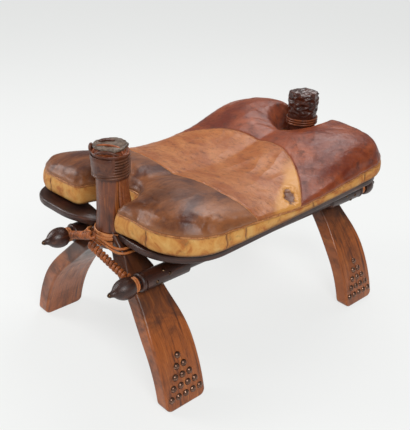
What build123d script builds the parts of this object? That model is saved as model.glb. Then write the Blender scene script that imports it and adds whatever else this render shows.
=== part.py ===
from build123d import *
import os
from math import asin, cos, floor, pi, radians, sin, sqrt, tan

# Camel saddle stool: two end frames of splayed legs under a round post, two turned
# side rails, two bent seat slats and a loose leather pad that lies over them.
# Millimetres, +Z up. X runs along the rails, the front frame is at -X, and the
# right side, seen by somebody who sits facing the front, is at -Y.
# The origin is on the floor under the middle of the rails.

os.makedirs("parts", exist_ok=True)

# Driving dimensions of the whole stool
frame_spacing = 562.0
rail_slide = 34.0
post_top = 470.0
ridge_height = 328.3
seat_pitch = 2.45
pad_drop = 15.9
fit_gap = 0.3
hair_gap = 0.1
cut_overrun = 40.0

# Legs: bent boards that lean outwards and stand on their cut ends
leg_splay = 45.0
leg_thickness = 33.0
leg_bend_radius = 360.0
leg_bend_start = 135.0
leg_neck_half_width = 22.0
leg_neck_drop = 66.3
leg_neck_taper = 26.0
leg_shoulder_half_width = 34.0
leg_foot_half_width = 49.0
leg_foot_height = 112.0
leg_outline_round = 14.0
leg_edge_round = 5.0

# Posts: round timbers forked over the meeting leg tops
post_radius = 30.0
post_base_radius = 32.5
post_base_drop = 28.3
post_swell_rise = 11.7
post_bottom_drop = 68.3
post_bottom_round = 7.0
post_top_round = 8.0
crossing_peg_radius = 6.0
crossing_peg_half_length = 26.0
crossing_peg_drop = 23.3

# Leather covers on the posts, with a gathered hem and a bound neck
cover_thickness = 3.0
front_cover_length = 71.0
rear_cover_length = 123.0
front_cover_head = 17.0
rear_cover_head = 36.0
cover_hem_flare = 2.6
cover_hem_band = 8.0
cover_head_swell = 2.6
cover_cap_thickness = 5.0
cover_cap_round = 6.0
binding_wire_radius = 2.3
binding_pitch = 5.6
front_binding_turns = 7
rear_binding_turns = 3
front_binding_drop = 0.5
rear_binding_drop = 19.0
skirt_length = 47.0
skirt_waist_share = 0.35
skirt_hem_spread = 4.0
skirt_turn = -10.0

# Side rails: turned bars with a block over each leg and an onion finial
right_rail_reach = 119.0
left_rail_reach = 105.0
rail_seat_flat = 1.5
rail_shaft_radius = 13.5
rail_block_radius = 19.0
rail_block_half_length = 53.0
rail_step = 5.0
rail_collar_length = 11.0
rail_collar_radius = 20.0
rail_collar_groove = 2.0
rail_neck_length = 16.0
rail_neck_radius = 11.0
finial_length = 50.0
finial_radius = 21.0
finial_rim_radius = 18.5
finial_belly_share = 0.30
finial_shoulder_share = 0.72
finial_shoulder_radius = 12.0
finial_tip_radius = 5.0
finial_waist_share = 0.86
finial_waist_radius = 6.6
tip_knob_radius = 4.2
tip_knob_length = 9.0

# Thongs round the rail necks and round the crossings
neck_thong_radius = 2.2
neck_thong_pitch = 4.9
neck_thong_turns = 2
crossing_thong_radius = 2.6
crossing_thong_pitch = 6.8
crossing_thong_quarters = 10
crossing_thong_drop = 63.8
crossing_thong_rake = 7.0
crossing_thong_face_room = 6.5
crossing_thong_face_half = 12.0
crossing_thong_post_half = 8.0

# Whipped tie ropes from the crossings down to the rail necks
tie_core_radius = 1.4
tie_wire_radius = 3.6
tie_coil_radius = 5.1
tie_pitch = 8.6
right_tie_head_y = 6.0
right_tie_head_drop = 55.3
left_tie_head_y = -3.0
left_tie_head_drop = 33.3
tie_neck_clearance = 22.0
tie_head_gap = 3.8
front_tie_neck_place_share = 0.6
rear_tie_neck_place_share = 0.85
tie_neck_gap = 0.05

# Bent seat slats
slat_width = 22.0
slat_thickness = 16.0
slat_edge_round = 5.0
slat_side_reach = 206.0
slat_corner_radius = 70.0
slat_broad_corner_radius = 110.0
slat_close_corner_radius = 56.0
slat_bend_radius = 130.0
slat_end_reach = 30.0
slat_shoulder_reach = 110.0
slat_near_shoulder_reach = 62.0
right_slat_front_reach = 4.0
right_slat_rear_reach = 58.0
left_slat_front_reach = 29.0
left_slat_rear_reach = 22.0
slat_left_shift = 21.0
slat_peg_radius = 3.0
slat_peg_half_length = 14.0

# Nails: domed heads on round shanks
nail_head_radius = 7.2
nail_head_height = 4.8
nail_shank_radius = 1.3
nail_shank_length = 14.0
nail_rows = 5
nail_row_spacing = 20.0
nail_column_spacing = 18.0
nail_bottom_height = 26.0
stud_head_radius = 4.0
stud_head_height = 2.2
stud_shank_length = 8.0
stud_end_shift = 15.0
stud_pair_spread = 20.0
stud_pair_spacing = 12.0
stud_middle_angle = 9.0
stud_pair_angle = 26.0
stud_member_angle = 16.0

# Leather pad: plan, side band and crown
pad_slide = 26.0
pad_left_shift = 2.5
pad_half_length = 318.0
pad_half_width = 230.5
pad_right_front_corner_radius = 106.0
pad_left_front_corner_radius = 58.0
pad_rear_corner_radius = 80.0
pad_left_waist = 26.0
pad_right_waist = -3.0
pad_front_notch_radius = 70.0
pad_front_notch_shift = 30.0
pad_rear_notch_radius = 51.0
pad_rear_notch_shift = 8.0
pad_notch_bulge_share = 0.25
pad_tip_radius = 15.0
pad_tip_least_radius = 4.0
pad_band_height = 34.0
pad_bulge = 6.0
pad_seam_proud = 4.0
pad_crown_height = 98.0
pad_leather = 2.5
pad_base_fold = 6.0
pad_place_shares = [-1.0, -0.82, -0.5, 0.0, 0.5, 0.82, 1.0]
crown_edge_shares = [0.49, 0.49, 0.39, 0.25, 0.33, 0.39, 0.39]
crown_hump_shares = [0.56, 0.82, 0.68, 0.48, 0.84, 0.97, 0.70]
crown_valley_shares = [0.50, 0.68, 0.57, 0.42, 0.71, 0.82, 0.58]
crown_hump_reach = 122.0
crown_side_room = 46.0
crown_end_room = 14.0
seam_front_height = 48.0
seam_front_rise = 34.0
seam_middle_height = 20.5
seam_rear_rise = 28.0
seam_rear_height = 36.0
seam_middle_slide = 18.0
front_panel_edge_share = -0.42
rear_panel_edge_share = 0.15
panel_joint_gap = 0.4

# Stations and planes worked out from the driving dimensions
root_half = sqrt(0.5)
half_turn_degrees = 180
front_station = -frame_spacing / 2 - rail_slide
rear_station = frame_spacing / 2 - rail_slide
frame_middle = -rail_slide
stations = {"front": front_station, "rear": rear_station}
sides = {"right": -1, "left": 1}
ends = {"front": -1, "rear": 1}
splay = radians(leg_splay)
outward = (cos(splay), sin(splay))
downhill = (sin(splay), -cos(splay))
seat_slope = tan(radians(seat_pitch))
pad_underside = ridge_height - pad_drop
leg_neck_bottom = ridge_height - leg_neck_drop
leg_shoulder_height = leg_neck_bottom - leg_neck_taper
post_base_height = ridge_height - post_base_drop
post_swell_height = ridge_height + post_swell_rise
post_bottom = ridge_height - post_bottom_drop
crossing_peg_height = ridge_height - crossing_peg_drop
crossing_thong_low = ridge_height - crossing_thong_drop


def export_node(node, shape):
    """Write one node's solids to its own file."""
    export_step(shape, os.path.join("parts", node + ".step"))


def leg_face_height(y):
    """Height of the straight part of the legs' outer faces at a distance from the middle."""
    return ridge_height - y * cos(splay) / sin(splay)


def seat_plane_height(x):
    """Height of the pad's underside over a place along the rails."""
    return pad_underside + (x - frame_middle) * seat_slope


def on_seat(shape, height=0.0):
    """Tip a flat shape to the seat's pitch and raise it to a height over the pad's underside."""
    tipped = shape.rotate(Axis((frame_middle, 0, 0), (0, 1, 0)), -seat_pitch)
    return tipped.translate((0, 0, pad_underside + height))


# Winding tubes

def biarc(start, start_way, end, end_way):
    """Two tangent arcs between two points of a winding, with its directions at both."""
    chord = end - start
    way_sum = start_way + end_way
    along = chord.dot(way_sum)
    turn = 1 - start_way.dot(end_way)
    reach = (sqrt(along * along + 2 * turn * chord.dot(chord)) - along) / (2 * turn)
    middle = (start + start_way * reach + end - end_way * reach) * 0.5
    middle_way = (end - end_way * reach) - (start + start_way * reach)
    first = Edge.make_tangent_arc(start, start_way, middle)
    second = Edge.make_tangent_arc(middle, middle_way, end)
    return [first, second]


def winding_path(place, turns, tail):
    """Quarter turns of a winding, with a short straight tail at each end.

    place gives a point of the winding for an angle counted in turns.
    """
    quarter_count = round(turns * 4)
    small = 1e-4
    knots = []
    for index in range(quarter_count + 1):
        at = index / 4
        here = place(at)
        way = (place(at + small) - place(at - small)).normalized()
        knots.append((here, way))
    edges = [Edge.make_line(knots[0][0] - knots[0][1] * tail, knots[0][0])]
    for (start, start_way), (end, end_way) in zip(knots, knots[1:]):
        edges.extend(biarc(start, start_way, end, end_way))
    edges.append(Edge.make_line(knots[-1][0], knots[-1][0] + knots[-1][1] * tail))
    return Wire(edges)


def report_least_gap(name, edges, wire_radius):
    """Print the least gap between neighbouring turns of a tube, measured on its points."""
    spacing = wire_radius / 2
    points = []
    way_before = edges[0] % 0
    turned = 0.0
    for edge in edges:
        count = max(2, round(edge.length / spacing))
        for index in range(count):
            way = edge % (index / count)
            turned += way.get_angle(way_before)
            way_before = way
            points.append((edge @ (index / count), turned))
    least = None
    for index, (here, here_turned) in enumerate(points):
        for other, other_turned in points[index + 1:]:
            if other_turned - here_turned < half_turn_degrees:
                continue
            apart = (other - here).length - 2 * wire_radius
            least = apart if least is None else min(least, apart)
    print(f"{name}: least gap between turns {least:.2f}")


def wound_tube(name, place, turns, wire_radius):
    """One unbroken tube along a winding."""
    path = winding_path(place, turns, 2 * wire_radius)
    report_least_gap(name, path.edges(), wire_radius)
    start_plane = Plane(path @ 0, z_dir=path % 0)
    return sweep(start_plane * Circle(wire_radius), path=path)


# Legs

def bend_centre():
    """Centre of the legs' bend in the plane across the rails."""
    start_y = leg_bend_start
    start_z = leg_face_height(leg_bend_start)
    return start_y - outward[0] * leg_bend_radius, start_z - outward[1] * leg_bend_radius


def leg_side_profile():
    """Side of one leg across the rails: straight at the top, bent towards the foot."""
    centre_y, centre_z = bend_centre()
    inner_radius = leg_bend_radius - leg_thickness

    def on_bend(radius, angle):
        return centre_y + radius * cos(angle), centre_z + radius * sin(angle)

    outer_foot_angle = asin(-centre_z / leg_bend_radius)
    inner_foot_angle = asin(-centre_z / inner_radius)
    apex = (0, ridge_height)
    inner_apex = (0, ridge_height - leg_thickness / sin(splay))
    outer_mid = on_bend(leg_bend_radius, (splay + outer_foot_angle) / 2)
    inner_mid = on_bend(inner_radius, (splay + inner_foot_angle) / 2)
    outer_top = on_bend(leg_bend_radius, splay)
    inner_top = on_bend(inner_radius, splay)
    outer_foot = on_bend(leg_bend_radius, outer_foot_angle)
    inner_foot = on_bend(inner_radius, inner_foot_angle)
    outline = [
        Line(apex, outer_top),
        ThreePointArc(outer_top, outer_mid, outer_foot),
        Line(outer_foot, inner_foot),
        ThreePointArc(inner_foot, inner_mid, inner_top),
        Line(inner_top, inner_apex),
        Line(inner_apex, apex),
    ]
    return make_face(Wire([part.edge() for part in outline]))


def leg_front_profile():
    """Width of one leg along its height: a broad foot, a long taper and a narrow neck."""
    taper = leg_foot_half_width - leg_shoulder_half_width
    rise = leg_shoulder_height - leg_foot_height
    taper_radius = (taper ** 2 + rise ** 2) / (4 * taper)
    quarter_turn = asin(rise / (2 * taper_radius)) / 2
    bow = taper_radius * (1 - cos(quarter_turn))
    climb = taper_radius * sin(quarter_turn)
    middle = ((leg_foot_half_width + leg_shoulder_half_width) / 2, leg_foot_height + rise / 2)
    top = ridge_height + cut_overrun
    edges = []
    for side in (1, -1):
        foot = (side * leg_foot_half_width, leg_foot_height)
        shoulder = (side * leg_shoulder_half_width, leg_shoulder_height)
        between = (side * middle[0], middle[1])
        low_bow = (side * (leg_foot_half_width - bow), leg_foot_height + climb)
        high_bow = (side * (leg_shoulder_half_width + bow), leg_shoulder_height - climb)
        neck = (side * leg_neck_half_width, leg_neck_bottom)
        edges.append(Line((side * leg_foot_half_width, 0), foot))
        edges.append(ThreePointArc(foot, low_bow, between))
        edges.append(ThreePointArc(between, high_bow, shoulder))
        edges.append(Line(shoulder, neck))
        edges.append(Line(neck, (side * leg_neck_half_width, top)))
    edges.append(Line((-leg_foot_half_width, 0), (leg_foot_half_width, 0)))
    edges.append(Line((-leg_neck_half_width, top), (leg_neck_half_width, top)))
    face = make_face(Wire([part.edge() for part in edges]))
    corners = [v for v in face.vertices() if v.Y == 0 or v.Y > leg_shoulder_height - hair_gap]
    corners = [v for v in corners if v.Y < ridge_height]
    return fillet(corners, leg_outline_round)


def leg_blank():
    """A left leg board at the origin, before its holes."""
    depth = 2 * leg_foot_half_width + cut_overrun
    side = extrude(Plane.YZ * leg_side_profile(), depth / 2, both=True)
    reach = leg_bend_radius + cut_overrun
    front = extrude(Plane.XZ * leg_front_profile(), reach, both=True)
    board = side & front
    long_edges = []
    for edge in board.edges():
        middle = edge @ 0.5
        low = min(v.Z for v in edge.vertices())
        spread = max(v.Z for v in edge.vertices()) - low
        clear_of_mitre = middle.Y > leg_edge_round
        across = abs(middle.X) > leg_neck_half_width - hair_gap
        if spread > leg_edge_round and clear_of_mitre and across:
            long_edges.append(edge)
    return fillet(long_edges, leg_edge_round)


def nail_places():
    """Angle round the bend and offset along the rails of each nail on one leg."""
    centre_y, centre_z = bend_centre()
    bottom_angle = asin((nail_bottom_height - centre_z) / leg_bend_radius)
    places = []
    for row in range(nail_rows):
        angle = bottom_angle + row * nail_row_spacing / leg_bend_radius
        count = nail_rows - row
        for column in range(count):
            offset = (column - (count - 1) / 2) * nail_column_spacing
            places.append((angle, offset))
    return places


def nail_planes(side, station):
    """Planes on a leg's outer face, one for each nail, facing outwards."""
    centre_y, centre_z = bend_centre()
    planes = []
    for angle, offset in nail_places():
        y = centre_y + leg_bend_radius * cos(angle)
        z = centre_z + leg_bend_radius * sin(angle)
        way = (0, side * cos(angle), sin(angle))
        planes.append(Plane((station + offset, side * y, z), x_dir=(1, 0, 0), z_dir=way))
    return planes


def domed_nail(head_radius, head_height, shank_length):
    """A nail along +Z whose head sits on the plane z = 0."""
    ball_radius = (head_radius ** 2 + head_height ** 2) / (2 * head_height)
    half_angle = asin(head_radius / ball_radius) / 2
    dome_middle = (
        ball_radius * sin(half_angle),
        head_height - ball_radius * (1 - cos(half_angle)),
    )
    profile = [
        Line((0, -shank_length), (nail_shank_radius, -shank_length)),
        Line((nail_shank_radius, -shank_length), (nail_shank_radius, 0)),
        Line((nail_shank_radius, 0), (head_radius, 0)),
        ThreePointArc((head_radius, 0), dome_middle, (0, head_height)),
        Line((0, head_height), (0, -shank_length)),
    ]
    face = make_face(Wire([part.edge() for part in profile]))
    return revolve(Plane.XZ * face, Axis.Z)


def leg(blank, side, station):
    """One leg with its nail holes and its half of the crossing peg's hole."""
    placed = blank if side > 0 else blank.mirror(Plane.XZ)
    placed = placed.translate((station, 0, 0))
    hole = Plane.YZ * Circle(crossing_peg_radius)
    peg_hole = extrude(hole, crossing_peg_half_length, both=True)
    cutters = [peg_hole.translate((station, 0, crossing_peg_height))]
    shank = Cylinder(nail_shank_radius, 2 * nail_shank_length)
    cutters.extend(plane * shank for plane in nail_planes(side, station))
    cutters.append(slat_peg(side, station))
    return placed - cutters


# Posts

def post(station):
    """A round post, forked over the leg tops and rounded at both ends."""
    top_low = post_top - post_top_round
    bottom_high = post_bottom + post_bottom_round
    profile = [
        Line((0, post_bottom), (post_base_radius - post_bottom_round, post_bottom)),
        ThreePointArc(
            (post_base_radius - post_bottom_round, post_bottom),
            (
                post_base_radius - post_bottom_round * (1 - root_half),
                bottom_high - post_bottom_round * root_half,
            ),
            (post_base_radius, bottom_high),
        ),
        Line((post_base_radius, bottom_high), (post_base_radius, post_base_height)),
        Line((post_base_radius, post_base_height), (post_radius, post_swell_height)),
        Line((post_radius, post_swell_height), (post_radius, top_low)),
        ThreePointArc(
            (post_radius, top_low),
            (
                post_radius - post_top_round * (1 - root_half),
                top_low + post_top_round * root_half,
            ),
            (post_radius - post_top_round, post_top),
        ),
        Line((post_radius - post_top_round, post_top), (0, post_top)),
        Line((0, post_top), (0, post_bottom)),
    ]
    face = make_face(Wire([part.edge() for part in profile]))
    turned = revolve(Plane.XZ * face, Axis.Z)
    reach = post_base_radius + cut_overrun
    fork = Polyline(
        (0, ridge_height),
        (reach, leg_face_height(reach)),
        (reach, 0),
        (-reach, 0),
        (-reach, leg_face_height(reach)),
        close=True,
    )
    slot = extrude(Plane.YZ * make_face(fork), leg_neck_half_width, both=True)
    peg = extrude(Plane.YZ * Circle(crossing_peg_radius), crossing_peg_half_length, both=True)
    peg = peg.translate((0, 0, crossing_peg_height))
    forked = (turned - slot - peg).translate((station, 0, 0))
    return forked - [slat_peg(side, station) for side in sides.values()]


def crossing_peg(station):
    """The hidden peg through the fork's cheeks and both leg tops."""
    peg = extrude(Plane.YZ * Circle(crossing_peg_radius), crossing_peg_half_length, both=True)
    return peg.translate((station, 0, crossing_peg_height))


# Post covers and their bindings

def post_cover(station, length, head_length):
    """A leather sleeve with a flared hem, a bound neck, a fuller head and a closed cap."""
    inner = post_radius
    neck = post_radius + cover_thickness
    hem = neck + cover_hem_flare
    head = neck + cover_head_swell
    cap = post_top + cover_cap_thickness
    hem_height = post_top - length
    seat_height = post_top - head_length
    head_low = seat_height + cover_head_swell
    outside = [
        (inner, hem_height),
        (hem, hem_height),
        (neck, hem_height + cover_hem_band),
        (neck, seat_height),
        (head, head_low),
        (head, cap - cover_cap_round),
        (head - cover_cap_round, cap),
        (0, cap),
        (0, post_top),
        (inner - post_top_round, post_top),
        (inner - post_top_round * (1 - root_half), post_top - post_top_round * (1 - root_half)),
        (inner, post_top - post_top_round),
    ]
    face = make_face(Polyline(*outside, close=True))
    shell = revolve(Plane.XZ * face, Axis.Z)
    head_round = Cylinder(post_radius, length)
    core = head_round.translate((0, 0, post_top - length / 2))
    core = fillet(core.edges().group_by(Axis.Z)[-1], post_top_round)
    return (shell - core).translate((station, 0, 0))


def post_skirt(station):
    """A flared leather flap below the front cover, round the half of the post that faces the pad."""
    top = post_top - front_cover_length - fit_gap
    waist = top - skirt_length * skirt_waist_share
    bottom = top - skirt_length
    outer = post_radius + cover_thickness
    profile = [
        (post_radius, top),
        (outer, top),
        (outer, waist),
        (outer + skirt_hem_spread, bottom),
        (post_radius + skirt_hem_spread, bottom),
        (post_radius, waist),
    ]
    face = make_face(Polyline(*profile, close=True))
    shell = revolve(Plane.XZ * face, Axis.Z)
    reach = outer + skirt_hem_spread
    half = Box(reach, 2 * reach, 2 * post_top).translate((reach / 2, 0, 0))
    flap = shell & half.rotate(Axis.Z, skirt_turn)
    return flap.translate((station, 0, 0))


def post_binding(name, station, low, turns):
    """Cord wound round the neck of a post cover."""
    coil = post_radius + cover_thickness + binding_wire_radius + hair_gap

    def place(at):
        angle = 2 * pi * at
        return Vector(station + coil * cos(angle), coil * sin(angle), low + binding_pitch * at)

    return wound_tube(name, place, turns, binding_wire_radius)


# Side rails

def rail_seat_distance():
    """Distance of a rail's axis from the legs' outer faces."""
    return rail_block_radius - rail_seat_flat


def rail_axis(side):
    """Place of a rail's axis across the stool: it bears on the legs' outer faces."""
    reach = right_rail_reach if side < 0 else left_rail_reach
    height = leg_face_height(reach) + rail_seat_distance() / sin(splay)
    return side * reach, height


def block_middles():
    """Middles of the two blocks along a rail."""
    return [-frame_spacing / 2, frame_spacing / 2]


def rail_stations():
    """Places along half a rail, counted from its middle."""
    block_start = frame_spacing / 2 - rail_block_half_length
    block_end = frame_spacing / 2 + rail_block_half_length
    collar_end = block_end + rail_collar_length
    neck_end = collar_end + rail_neck_length
    finial_end = neck_end + finial_length
    return block_start, block_end, collar_end, neck_end, finial_end


def rail(side):
    """A turned rail with blocks, collars, necks and onion finials at both ends."""
    block_start, block_end, collar_end, neck_end, finial_end = rail_stations()
    belly_end = neck_end + finial_length * finial_belly_share
    shoulder = neck_end + finial_length * finial_shoulder_share
    waist = neck_end + finial_length * finial_waist_share
    collar_middle = (block_end + rail_collar_groove + collar_end) / 2
    groove_end = block_end + rail_collar_groove
    groove_radius = rail_block_radius - rail_collar_groove
    half = [
        Line((0, rail_shaft_radius), (block_start - rail_step, rail_shaft_radius)),
        Line((block_start - rail_step, rail_shaft_radius), (block_start, rail_block_radius)),
        Line((block_start, rail_block_radius), (block_end, rail_block_radius)),
        Line((block_end, rail_block_radius), (block_end, groove_radius)),
        Line((block_end, groove_radius), (groove_end, groove_radius)),
        ThreePointArc(
            (groove_end, groove_radius),
            (collar_middle, rail_collar_radius),
            (collar_end, groove_radius),
        ),
        Line((collar_end, groove_radius), (collar_end, rail_neck_radius)),
        Line((collar_end, rail_neck_radius), (neck_end, rail_neck_radius)),
        Line((neck_end, rail_neck_radius), (neck_end, finial_rim_radius)),
        ThreePointArc(
            (neck_end, finial_rim_radius),
            (belly_end, finial_radius),
            (shoulder, finial_shoulder_radius),
        ),
        ThreePointArc(
            (shoulder, finial_shoulder_radius),
            (waist, finial_waist_radius),
            (finial_end, finial_tip_radius),
        ),
        Line((finial_end, finial_tip_radius), (finial_end, 0)),
        Line((finial_end, 0), (0, 0)),
        Line((0, 0), (0, rail_shaft_radius)),
    ]
    face = make_face(Wire([part.edge() for part in half]))
    one_end = revolve(face, Axis.X)
    turned = one_end + one_end.mirror(Plane.YZ)
    knob_bore = Plane.YZ * Cylinder(nail_shank_radius, 2 * (finial_end + cut_overrun))
    knob_core = Plane.YZ * Cylinder(nail_shank_radius * 2, 2 * (finial_end - nail_shank_length))
    turned = turned - (knob_bore - knob_core)
    y, z = rail_axis(side)
    placed = turned.translate((0, y, z))
    seat_cutters = []
    for station in (front_station, rear_station):
        half_width = leg_foot_half_width
        depth = rail_block_radius
        block = Box(2 * half_width, 2 * depth, depth)
        lift = -depth / 2 - rail_seat_distance()
        face_plane = Plane(
            (station, y, z), x_dir=(1, 0, 0), z_dir=(0, side * outward[0], outward[1])
        )
        seat_cutters.append(face_plane * Pos(0, 0, lift) * block)
    seat_cutters.extend(stud_bodies(side))
    return placed - seat_cutters


def tip_knobs(side):
    """A round-headed nail in the tip of each finial."""
    finial_end = rail_stations()[-1]
    y, z = rail_axis(side)
    knob = domed_nail(tip_knob_radius, tip_knob_radius, nail_shank_length)
    front = Plane((-finial_end, y, z), x_dir=(0, 1, 0), z_dir=(-1, 0, 0)) * knob
    rear = Plane((finial_end, y, z), x_dir=(0, 1, 0), z_dir=(1, 0, 0)) * knob
    return [front, rear]


def stud_planes(side):
    """Places of the small studs on the rail blocks: two slanted pairs on each."""
    y, z = rail_axis(side)
    planes = []
    for end, middle in zip(ends.values(), block_middles()):
        for pair in (-1, 1):
            for member in (-1, 1):
                back = pair * stud_pair_spread / 2 + member * stud_pair_spacing / 2
                along = middle + end * (stud_end_shift - back)
                lean = stud_middle_angle + pair * stud_pair_angle - member * stud_member_angle
                angle = radians(lean)
                way = (0, side * cos(angle), sin(angle))
                place = (
                    along,
                    y + side * cos(angle) * rail_block_radius,
                    z + sin(angle) * rail_block_radius,
                )
                planes.append(Plane(place, x_dir=(1, 0, 0), z_dir=way))
    return planes


def stud_bodies(side):
    """The studs of one rail, as solids in their places."""
    stud = domed_nail(stud_head_radius, stud_head_height, stud_shank_length)
    return [plane * stud for plane in stud_planes(side)]


def neck_thong(name, side, end):
    """A thong wound round a rail's neck."""
    block_start, block_end, collar_end, neck_end, finial_end = rail_stations()
    y, z = rail_axis(side)
    coil = rail_neck_radius + neck_thong_radius + hair_gap
    width = neck_thong_turns * neck_thong_pitch
    start = (collar_end + neck_end) / 2 - width / 2

    def place(at):
        angle = 2 * pi * at - pi / 2
        along = end * (start + neck_thong_pitch * at)
        return Vector(along, y + coil * cos(angle), z + coil * sin(angle))

    return wound_tube(name, place, neck_thong_turns, neck_thong_radius)


# Crossing thongs and whipped ties

def crossing_thong_runs(station, end):
    """Straight runs of the thong round the fork and the two leg necks, a quarter turn each.

    The runs across the post's front lie higher than those behind it, and the turns
    narrow as they climb, because the legs come together.
    """
    along = post_base_radius + crossing_thong_radius + hair_gap
    runs = []
    for index in range(crossing_thong_quarters + 1):
        quarter = index % 4
        height = crossing_thong_low + crossing_thong_pitch * index / 4
        climb = crossing_thong_pitch / 16
        across = ridge_height - height + crossing_thong_face_room
        half = crossing_thong_post_half
        face_half = crossing_thong_face_half
        if quarter == 0:
            middle = Vector(end * along, 0, height + crossing_thong_rake)
            reach = Vector(0, half, climb)
        elif quarter == 1:
            middle = Vector(0, across, height)
            reach = Vector(-end * face_half, 0, climb)
        elif quarter == 2:
            middle = Vector(-end * along, 0, height - crossing_thong_rake)
            reach = Vector(0, -half, climb)
        else:
            middle = Vector(0, -across, height)
            reach = Vector(end * face_half, 0, climb)
        middle = middle + Vector(station, 0, 0)
        runs.append((middle - reach, middle + reach))
    return runs


def crossing_thong(name, station, end):
    """A thong wound round a crossing, as straight runs joined by quarter-turn biarcs."""
    runs = crossing_thong_runs(station, end)
    edges = [Edge.make_line(*runs[0])]
    for (_, corner_start), (corner_end, _) in zip(runs, runs[1:]):
        index = len(edges) // 3
        start_way = (runs[index][1] - runs[index][0]).normalized()
        end_way = (runs[index + 1][1] - runs[index + 1][0]).normalized()
        edges.extend(biarc(corner_start, start_way, corner_end, end_way))
        edges.append(Edge.make_line(*runs[index + 1]))
    report_least_gap(name, edges, crossing_thong_radius)
    path = Wire(edges)
    start_plane = Plane(path @ 0, z_dir=path % 0)
    return sweep(start_plane * Circle(crossing_thong_radius), path=path)


def tie_line(side, end, clearance, radius):
    """Head and tail of a tie of some radius, from outside its crossing towards a rail's neck.

    The tail's nearest edge lies at the clearance from the neck's axis.
    """
    clear = post_base_radius + 2 * crossing_thong_radius + hair_gap
    x = stations["front" if end < 0 else "rear"]
    x += end * (clear + tie_coil_radius + tie_wire_radius + tie_head_gap)
    head_y = right_tie_head_y if side < 0 else left_tie_head_y
    head_drop = right_tie_head_drop if side < 0 else left_tie_head_drop
    block_start, block_end, collar_end, neck_end, finial_end = rail_stations()
    neck_y, neck_z = rail_axis(side)
    head = Vector(x, head_y, ridge_height - head_drop)
    place_share = front_tie_neck_place_share if end < 0 else rear_tie_neck_place_share
    neck_x = collar_end + place_share * (neck_end - collar_end)
    neck = Vector(end * neck_x, neck_y, neck_z)
    way = (head - neck).normalized()
    across = sqrt(1 - way.X ** 2)
    tail = neck + way * ((clearance + radius * abs(way.X)) / across)
    return head, tail


def tie_whipping(name, side, end):
    """Cord whipped round a tie from its head to its tail."""
    outer_radius = tie_coil_radius + tie_wire_radius
    head, tail = tie_line(side, end, tie_neck_clearance, outer_radius)
    way = (tail - head).normalized()
    third = way.cross(Vector(1, 0, 0)).normalized()
    level = third.cross(way)
    turns = floor((tail - head).length / tie_pitch)
    pitch = (tail - head).length / turns

    def place(at):
        angle = 2 * pi * at
        ring = level * (tie_coil_radius * cos(angle)) + third * (tie_coil_radius * sin(angle))
        return head + way * (pitch * at) + ring

    return wound_tube(name, place, turns, tie_wire_radius)


def tie_core(side, end):
    """The rope under the whipping."""
    thong_outside = rail_neck_radius + 2 * neck_thong_radius + hair_gap
    head, tail = tie_line(side, end, thong_outside + tie_neck_gap, tie_core_radius)
    core = Cylinder(tie_core_radius, (tail - head).length)
    middle = (head + tail) * 0.5
    return Plane(middle, z_dir=(tail - head).normalized()) * core


# Seat slats

def slat_route(side):
    """Middle line of a slat: out from the front post, along the side, back to the rear post."""
    front_reach = right_slat_front_reach if side < 0 else left_slat_front_reach
    rear_reach = right_slat_rear_reach if side < 0 else left_slat_rear_reach
    front_shoulder = slat_near_shoulder_reach if side < 0 else slat_shoulder_reach
    front_corner = slat_broad_corner_radius if side < 0 else slat_close_corner_radius
    side_y = slat_side_reach if side < 0 else slat_side_reach + slat_left_shift
    front_x = front_station - front_reach
    rear_x = rear_station + rear_reach
    points = [
        (front_station, side * slat_end_reach),
        (front_x, side * front_shoulder),
        (front_x, side * side_y),
        (rear_x, side * side_y),
        (rear_x, side * slat_shoulder_reach),
        (rear_station, side * slat_end_reach),
    ]
    radii = [slat_bend_radius, front_corner, slat_corner_radius, slat_bend_radius]
    return FilletPolyline(*points, radius=radii)


def slat(side):
    """A bent slat of rounded section, cut to the leg faces and to the posts."""
    path = slat_route(side)
    section = Plane(path @ 0, x_dir=(0, 0, 1), z_dir=path % 0) * RectangleRounded(
        slat_thickness, slat_width, slat_edge_round
    )
    bar = sweep(section, path=path)
    bar = on_seat(bar, -slat_thickness / 2 - fit_gap)
    reach = slat_shoulder_reach
    wedge = Polyline((0, ridge_height), (side * reach, leg_face_height(reach)), (0, 0), close=True)
    cutters = []
    for station in (front_station, rear_station):
        leg_block = extrude(Plane.YZ * make_face(wedge), leg_foot_half_width, both=True)
        cutters.append(leg_block.translate((station, 0, 0)))
        post_room = Cylinder(post_base_radius + hair_gap, 2 * post_top)
        cutters.append(post_room.translate((station, 0, 0)))
        cutters.append(slat_peg(side, station))
    return bar - cutters


def slat_peg(side, station):
    """The hidden peg that holds one end of a slat to its post."""
    peg = extrude(Plane.XZ * Circle(slat_peg_radius), slat_peg_half_length, both=True)
    height = seat_plane_height(station) - fit_gap - slat_thickness / 2
    return peg.translate((station, side * post_base_radius, height))


# Pad

def notch_points(end, end_x, centre, radius, tip, side):
    """Tangent points of a lobe's rounded tip between the pad's end and its notch."""
    inside = end_x - end * tip
    rise = sqrt((radius + tip) ** 2 - (inside - centre.X) ** 2)
    tip_centre = Vector(inside, centre.Y + side * rise)
    on_end = Vector(end_x, tip_centre.Y)
    to_notch = (centre - tip_centre).normalized()
    on_notch = tip_centre + to_notch * tip
    between = (Vector(end, 0) + to_notch).normalized()
    tip_middle = tip_centre + between * tip
    bottom = centre - Vector(end * radius, 0)
    notch_middle = centre + ((on_notch - centre).normalized() - Vector(end, 0)).normalized() * radius
    return on_end, tip_middle, on_notch, notch_middle, bottom


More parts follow.
